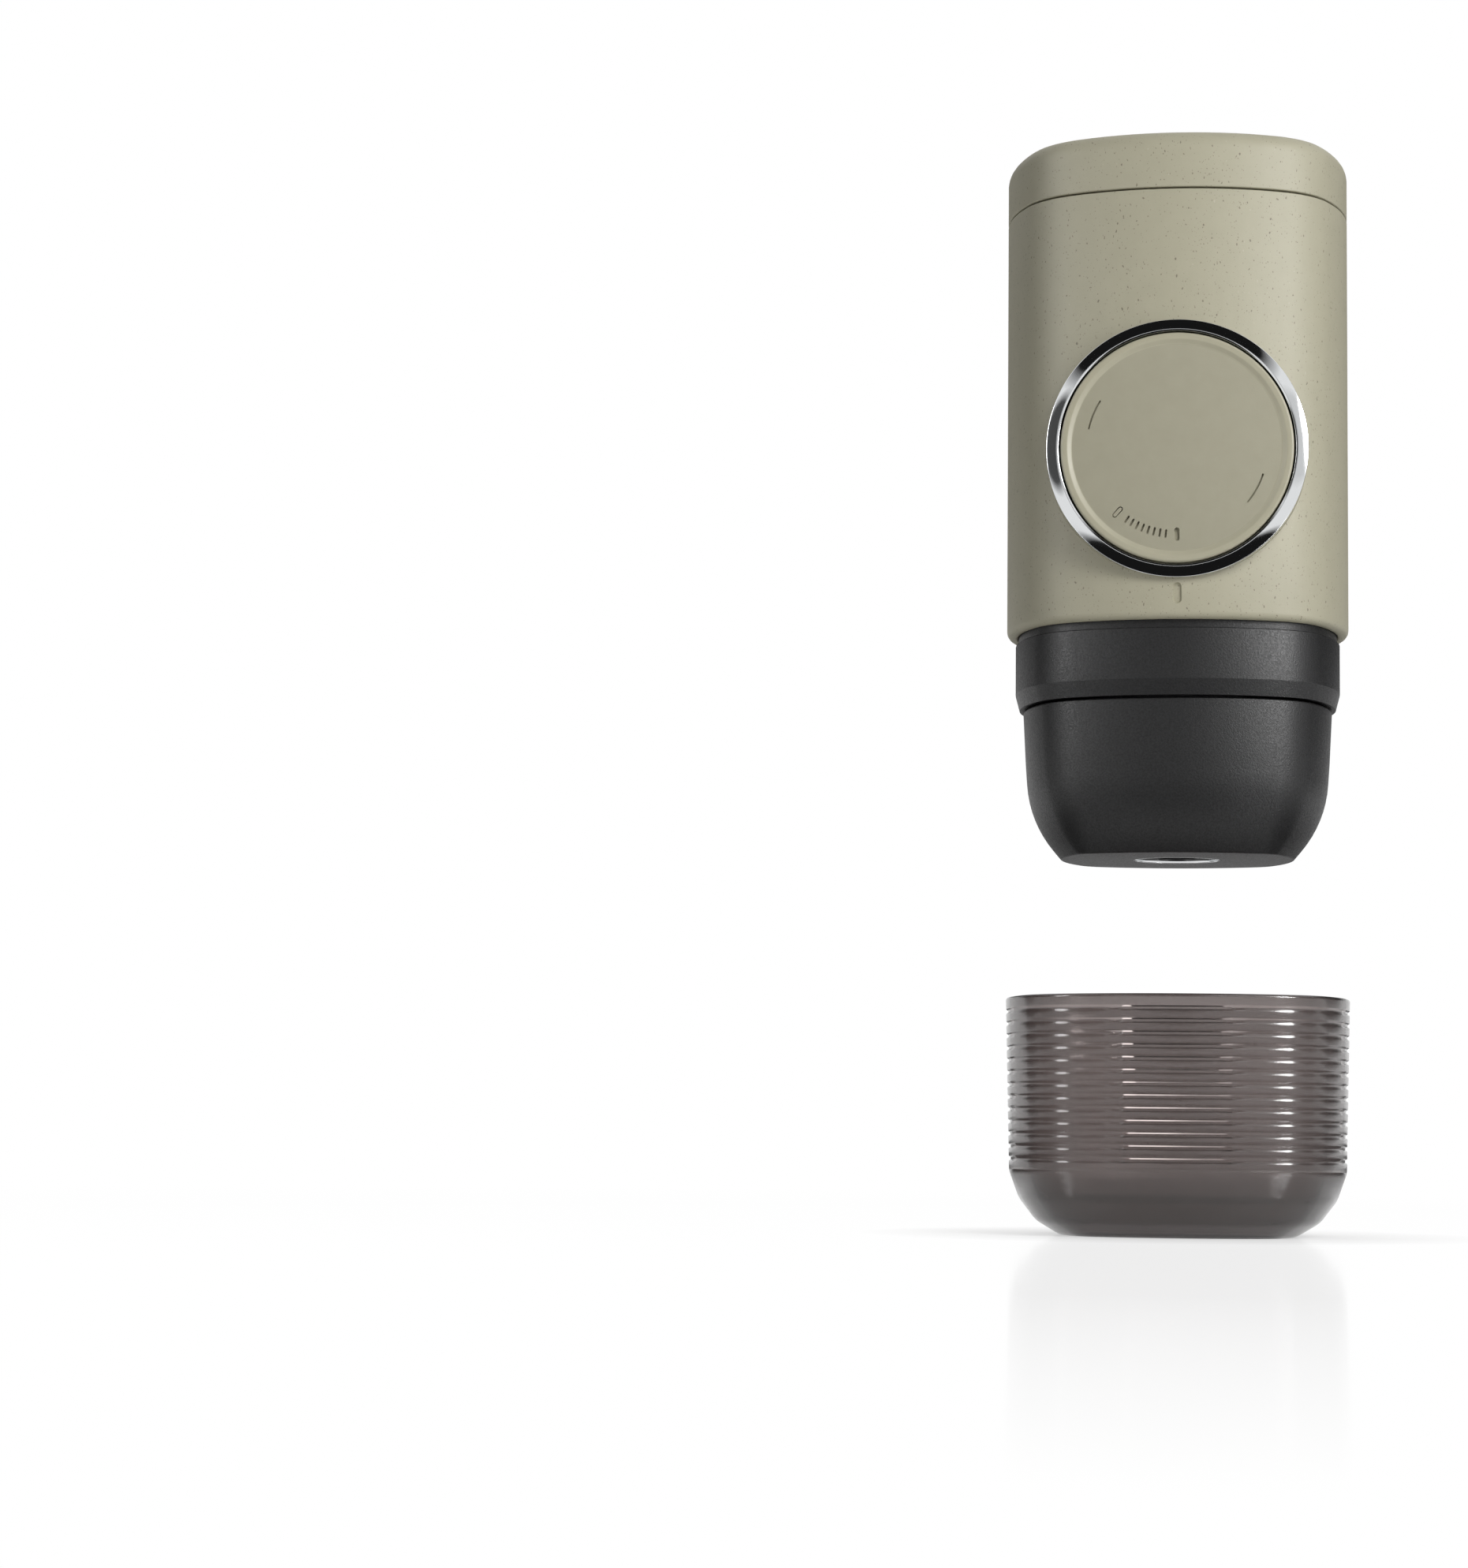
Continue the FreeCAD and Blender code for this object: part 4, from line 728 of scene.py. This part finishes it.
def buildLid():
    bm = bmesh.new()
    shoulders = [(inset, lid["crown"] + level, radius) for inset, level, radius in lid["shoulders"]]
    top = [(0, lid["seam"], lid["lip"]), (0, lid["sideTop"], lid["edgeRound"]), *shoulders,
           (lid["crownInset"], lid["crown"], 0)]
    plug, seat = lid["plugInset"], lid["sealSeat"]
    inside = plug + lid["plugWall"]
    under = [(inside, lid["cavityTop"], 0), (inside, lid["plugLow"], lid["wallRound"]),
             (plug, lid["plugLow"], lid["plugRound"]), (plug, lid["sealLow"], 0),
             (seat, lid["sealLow"], 0), (seat, lid["sealHigh"], 0), (plug, lid["sealHigh"], 0),
             (plug, lid["seam"], 0)]
    crown = [("scaled", size, lid["crown"] + rise, 0.0) for size, rise in lid["crownRings"]]
    sweepOutline(bm, plain, square(softened(under + top, closed=False, steps=6)) + crown,
                 capFirst=True, capLast=True)
    lift(bm, shellTall)
    toMachine(bm)
    addPiece("lidCap", bm, sage, "lid", ["tank_lid"])
    seal = bmesh.new()
    ring = softened([(seat, lid["sealLow"], 0), (lid["sealInset"], lid["sealLow"], lid["sealRound"]),
                     (lid["sealInset"], lid["sealHigh"], lid["sealRound"]), (seat, lid["sealHigh"], 0)])
    sweepOutline(seal, plain, square(ring), closed=True)
    lift(seal, shellTall)
    toMachine(seal)
    addPiece("lidSeal", seal, silicone, "lid", ["lid_gasket"])


# ---- the cup

cup = {"draft": 0.65, "slopeTop": 10.8, "slopeLead": 0.3, "bendRound": 4.0, "rimRound": 0.5, "wall": 1.2,
       "straight": 29.0, "straightRound": 6.0, "innerDraft": 1.75, "floor": 1.5, "floorInset": 9.6,
       "floorMiddle": 13.0, "floorRound": 3.0, "rimShare": 0.8, "sharpAngle": 50}
ribs = {"first": 2.0, "pitch": 2.1, "high": 0.8, "deep": 0.07, "panelDeep": 0.28, "ease": 0.2, "edge": 0.02,
        "count": 13}
# inset, level and corner radius: outside down to the foot's recess, and inside up from the floor
footCurve = ((2.3, 6.2, 5.0), (5.2, 2.4, 5.0), (8.6, 0.35, 0.8), (9.4, 0, 0.3), (10.5, 0, 0.3),
             (11.0, 0.35, 0))
innerCurve = ((6.3, 3.7, 5.0), (3.5, 7.1, 5.0))


def buildCup():
    bm = bmesh.new()
    wallRun = cupTall - cup["slopeTop"]

    def drafted(level):
        return cup["draft"] * (cupTall - level) / wallRun

    outer = []
    ease, edge, deep, panelDeep = ribs["ease"], ribs["edge"], ribs["deep"], ribs["panelDeep"]
    for rib in range(ribs["count"]):
        top = cupTall - ribs["first"] - rib * ribs["pitch"]
        low = top - ribs["high"]
        outer += [(drafted(top), top + ease, 0), (drafted(top) + edge, top, 0),
                  (drafted(top) + deep, top - ease, panelDeep),
                  (drafted(low) + deep, low + ease, panelDeep),
                  (drafted(low) + edge, low, 0), (drafted(low), low - ease, 0)]
    foot = softened([(cup["draft"], cup["slopeTop"] + cup["slopeLead"], 0),
                     (cup["draft"], cup["slopeTop"], cup["bendRound"]), *footCurve], closed=False, steps=5)
    outer += [(inset, level, 0) for inset, level in foot]
    rim = cup["wall"] / 2
    inner = softened([(cup["floorMiddle"], cup["floor"], 0),
                      (cup["floorInset"], cup["floor"], cup["floorRound"]), *innerCurve,
                      (cup["innerDraft"], cup["slopeTop"], cup["bendRound"]),
                      (cup["wall"], cup["straight"], cup["straightRound"]),
                      (cup["wall"], cupTall, rim * cup["rimShare"]), (0, cupTall, rim * cup["rimShare"]),
                      (0, cupTall - cup["rimRound"], 0)], closed=False, steps=5)
    sections = square(inner) + [("square", inset, level, deep) for inset, level, deep in outer]
    sweepOutline(bm, panelled, sections, capFirst=True, capLast=True)
    addPiece("cupBody", bm, smokyClear, "cup", ["drinking_cup"], sharpAngle=cup["sharpAngle"])


buildShell()
buildBezel()
buildKnob()
buildCollar()
buildHead()
buildNozzle()
buildGasket()
buildHolder()
buildLid()
buildCup()

# the pieces inside keep their frame shapes
finishes = {"water_tank": darkPolypropylene, "suction_filter": stainless, "knob_well": black,
            "pump_cylinder": darkPolypropylene, "rod_seal": silicone, "valve_block": darkPolypropylene,
            "inlet_valve": silicone, "outlet_valve": silicone, "suction_tube": silicone,
            "feed_tube": silicone, "needle_plate": stainless, "water_needles": stainless,
            "brew_seal": silicone, "group_screws": stainless, "vent_valve": silicone,
            "piston_rod": stainless, "piston": glossBlack, "piston_seal": silicone,
            "retaining_clip": stainless, "return_spring": stainless, "extraction_plate": stainless}
for nodeName, material in finishes.items():
    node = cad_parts[nodeName]
    node.data.materials.clear()
    node.data.materials.append(material)
print("inner pieces finished:", len(finishes))


# ---- floor, light and camera

pureWhite = (1, 1, 1, 1)
stage = {"floorHalf": 3.0, "floorColour": "#F2F2F1", "floorRoughness": 0.6, "ambient": 0.2,
         "nearGlow": 0.55, "nearReach": 0.02, "farReach": 0.055, "mirror": 0.16,
         "mirrorRoughness": 0.08, "mirrorReach": 0.25, "mirrorEnd": 0.48, "cardSolid": 0.36,
         "cardEdge": 0.5}


def makeFloor():
    bm = bmesh.new()
    bmesh.ops.create_grid(bm, x_segments=1, y_segments=1, size=stage["floorHalf"])
    floor = meshObject("floor", bm)
    # white acrylic: keeps the shadow near the object, mirrors it faintly, and is plain white further off
    material, tree, shader = newMaterial("whiteAcrylic")
    shader.inputs["Base Color"].default_value = linear(stage["floorColour"])
    shader.inputs["Roughness"].default_value = stage["floorRoughness"]
    shader.inputs["Specular IOR Level"].default_value = 0.0
    place = addNode(tree, "ShaderNodeTexCoord").outputs["Object"]
    away = addNode(tree, "ShaderNodeVectorMath", {"operation": "LENGTH"}, {0: place})
    share = addNode(tree, "ShaderNodeMapRange", {"From Min": stage["nearReach"],
                                                 "From Max": stage["farReach"],
                                                 "To Min": stage["nearGlow"], "To Max": 1.0},
                    {"Value": away.outputs["Value"]})
    seen = addNode(tree, "ShaderNodeMath", {"operation": "MULTIPLY"},
                   {0: share.outputs[0], 1: shownRays(tree)})
    glow = addNode(tree, "ShaderNodeEmission", {"Color": pureWhite, "Strength": 1.0})
    ground = addNode(tree, "ShaderNodeMixShader", links={0: seen.outputs[0], 1: shader.outputs[0],
                                                         2: glow.outputs[0]})
    mirror = addNode(tree, "ShaderNodeBsdfGlossy", {"Color": pureWhite,
                                                    "Roughness": stage["mirrorRoughness"]})
    fade = addNode(tree, "ShaderNodeMapRange", {"From Min": stage["mirrorReach"],
                                                "From Max": stage["mirrorEnd"],
                                                "To Min": stage["mirror"], "To Max": 0.0},
                   {"Value": away.outputs["Value"]})
    both = addNode(tree, "ShaderNodeMixShader", links={0: fade.outputs[0], 1: ground.outputs[0],
                                                       2: mirror.outputs[0]})
    tree.links.new(both.outputs[0], tree.nodes["Material Output"].inputs["Surface"])
    floor.data.materials.append(material)


def shownRays(tree):
    # rays that should meet a white background: straight looks, mirror looks and looks through the cup
    rays = addNode(tree, "ShaderNodeLightPath")
    pair = addNode(tree, "ShaderNodeMath", {"operation": "ADD", "use_clamp": True},
                   {0: rays.outputs["Is Camera Ray"], 1: rays.outputs["Is Glossy Ray"]})
    return addNode(tree, "ShaderNodeMath", {"operation": "ADD", "use_clamp": True},
                   {0: pair.outputs[0], 1: rays.outputs["Is Transmission Ray"]}).outputs[0]


def makeWorld():
    world = bpy.data.worlds.new("whiteRoom")
    world.use_nodes = True
    studio.world = world
    tree = world.node_tree
    ambient = tree.nodes["Background"]
    ambient.inputs["Color"].default_value = pureWhite
    ambient.inputs["Strength"].default_value = stage["ambient"]
    white = addNode(tree, "ShaderNodeBackground", {"Color": pureWhite, "Strength": 1.0})
    mixed = addNode(tree, "ShaderNodeMixShader", links={0: shownRays(tree), 1: ambient.outputs[0],
                                                        2: white.outputs[0]})
    tree.links.new(mixed.outputs[0], tree.nodes["World Output"].inputs["Surface"])


def addSoftbox(name, place, target, width, tall, watts):
    data = bpy.data.lights.new(name, "AREA")
    data.shape = "RECTANGLE"
    data.size = width
    data.size_y = tall
    data.energy = watts
    lamp = bpy.data.objects.new(name, data)
    lamp.location = place
    lamp.rotation_euler = (Vector(target) - Vector(place)).to_track_quat("-Z", "Y").to_euler()
    lamp.visible_glossy = False
    studio.collection.objects.link(lamp)


def addCard(name, place, target, width, tall, shade):
    # a soft-edged, one-sided card that only mirror looks meet, as a darker or a brighter patch
    bm = bmesh.new()
    bm.loops.layers.uv.new("card")
    bmesh.ops.create_grid(bm, x_segments=1, y_segments=1, size=0.5, calc_uvs=True)
    bmesh.ops.scale(bm, verts=bm.verts, vec=Vector((width, tall, 1)))
    turn = (Vector(target) - Vector(place)).to_track_quat("-Z", "Y").to_matrix().to_4x4()
    bmesh.ops.transform(bm, verts=bm.verts, matrix=Matrix.Translation(place) @ turn)
    board = meshObject(name, bm)
    material, tree = newMaterial(name)[:2]
    glow = addNode(tree, "ShaderNodeEmission", {"Color": pureWhite, "Strength": shade})
    clear = addNode(tree, "ShaderNodeBsdfTransparent")
    sides = addNode(tree, "ShaderNodeNewGeometry")
    uv = addNode(tree, "ShaderNodeTexCoord").outputs["UV"]
    centred = addNode(tree, "ShaderNodeVectorMath", {"operation": "SUBTRACT", 1: (0.5, 0.5, 0)}, {0: uv})
    reach = addNode(tree, "ShaderNodeVectorMath", {"operation": "LENGTH"}, {0: centred.outputs[0]})
    fade = addNode(tree, "ShaderNodeMapRange", {"From Min": stage["cardSolid"],
                                                "From Max": stage["cardEdge"],
                                                "To Min": 1.0, "To Max": 0.0},
                   {"Value": reach.outputs["Value"]})
    share = addNode(tree, "ShaderNodeMath", {"operation": "MULTIPLY"},
                    {0: fade.outputs[0], 1: sides.outputs["Backfacing"]})
    card = addNode(tree, "ShaderNodeMixShader", links={0: share.outputs[0], 1: clear.outputs[0],
                                                       2: glow.outputs[0]})
    tree.links.new(card.outputs[0], tree.nodes["Material Output"].inputs["Surface"])
    board.data.materials.append(material)
    board.visible_camera = False
    board.visible_diffuse = False
    board.visible_shadow = False
    board.visible_transmission = False


makeFloor()
makeWorld()
middle = (0, 0, 0.13)
# where each softbox stands, its width and height, and its watts
softboxes = {"keyBox": ((0.34, -0.52, 0.48), 0.35, 0.35, 3.3),
             "rightStrip": ((0.34, -0.36, 0.18), 0.12, 0.4, 0.42),
             "leftStrip": ((-0.7, -0.5, 0.25), 0.25, 0.6, 0.15),
             "rearBox": ((-0.25, 0.6, 0.45), 0.5, 0.4, 1.6)}
for name, (place, width, tall, watts) in softboxes.items():
    addSoftbox(name, place, middle, width, tall, watts)

# where each card stands, which way it faces, its width and height, and how bright it is
cards = {"upperCard": ((-0.03, -0.32, 0.56), middle, 0.87, 0.62, 0.01),
         "lowerCard": ((0.02, -0.23, 0.003), (0.02, -0.23, 1), 0.5, 0.3, 0.01),
         "leftCard": ((-0.46, -0.49, 0.27), middle, 0.3, 0.46, 0.08),
         "rightCard": ((0.6, -0.62, 0.33), middle, 0.5, 0.56, 0.75),
         "frontCard": ((0.0, -0.85, 0.3), middle, 0.6, 0.5, 0.1),
         "leftSheen": ((-0.7, -0.34, 0.33), middle, 0.3, 0.46, 10.0),
         "rightSheen": ((0.66, -0.44, 0.33), middle, 0.28, 0.46, 26.0),
         "leftDark": ((-0.7, 0.0, 0.28), middle, 0.45, 0.5, 0.1),
         "rightDark": ((0.7, -0.04, 0.28), middle, 0.45, 0.5, 0.1),
         "leftFlag": ((-0.57, 0.28, 0.27), middle, 0.64, 0.58, 0.02),
         "rightFlag": ((0.5, 0.4, 0.27), middle, 0.7, 0.58, 0.02),
         "floorLeft": ((-0.15, 0.05, 0.004), (-0.15, 0.05, 1), 0.24, 0.3, 0.05),
         "floorRight": ((0.15, 0.05, 0.004), (0.15, 0.05, 1), 0.24, 0.3, 0.05),
         "floorBack": ((0.0, 0.8, 0.004), (0.0, 0.8, 1), 0.9, 1.3, 0.1),
         "backFlag": ((0.0, 0.5, 0.29), (0.0, 0.0, 0.29), 0.9, 0.36, 0.05)}
for name, (place, target, width, tall, shade) in cards.items():
    addCard(name, place, target, width, tall, shade)
print("stage set")

view = {"distance": 0.668, "level": 0.0175, "focalPixels": 4865.0, "framePixels": 1988.0,
        "pitch": 5.13, "yaw": 6.56, "roll": -0.575}


def addCamera():
    data = bpy.data.cameras.new("camera")
    data.sensor_fit = "VERTICAL"
    data.sensor_height = 36.0
    data.lens = view["focalPixels"] / view["framePixels"] * data.sensor_height
    data.clip_start = 0.01
    camera = bpy.data.objects.new("camera", data)
    camera.location = (0, -view["distance"], view["level"])
    camera.rotation_euler = (math.radians(90 + view["pitch"]), math.radians(view["roll"]),
                             math.radians(view["yaw"]))
    studio.collection.objects.link(camera)
    studio.camera = camera


addCamera()
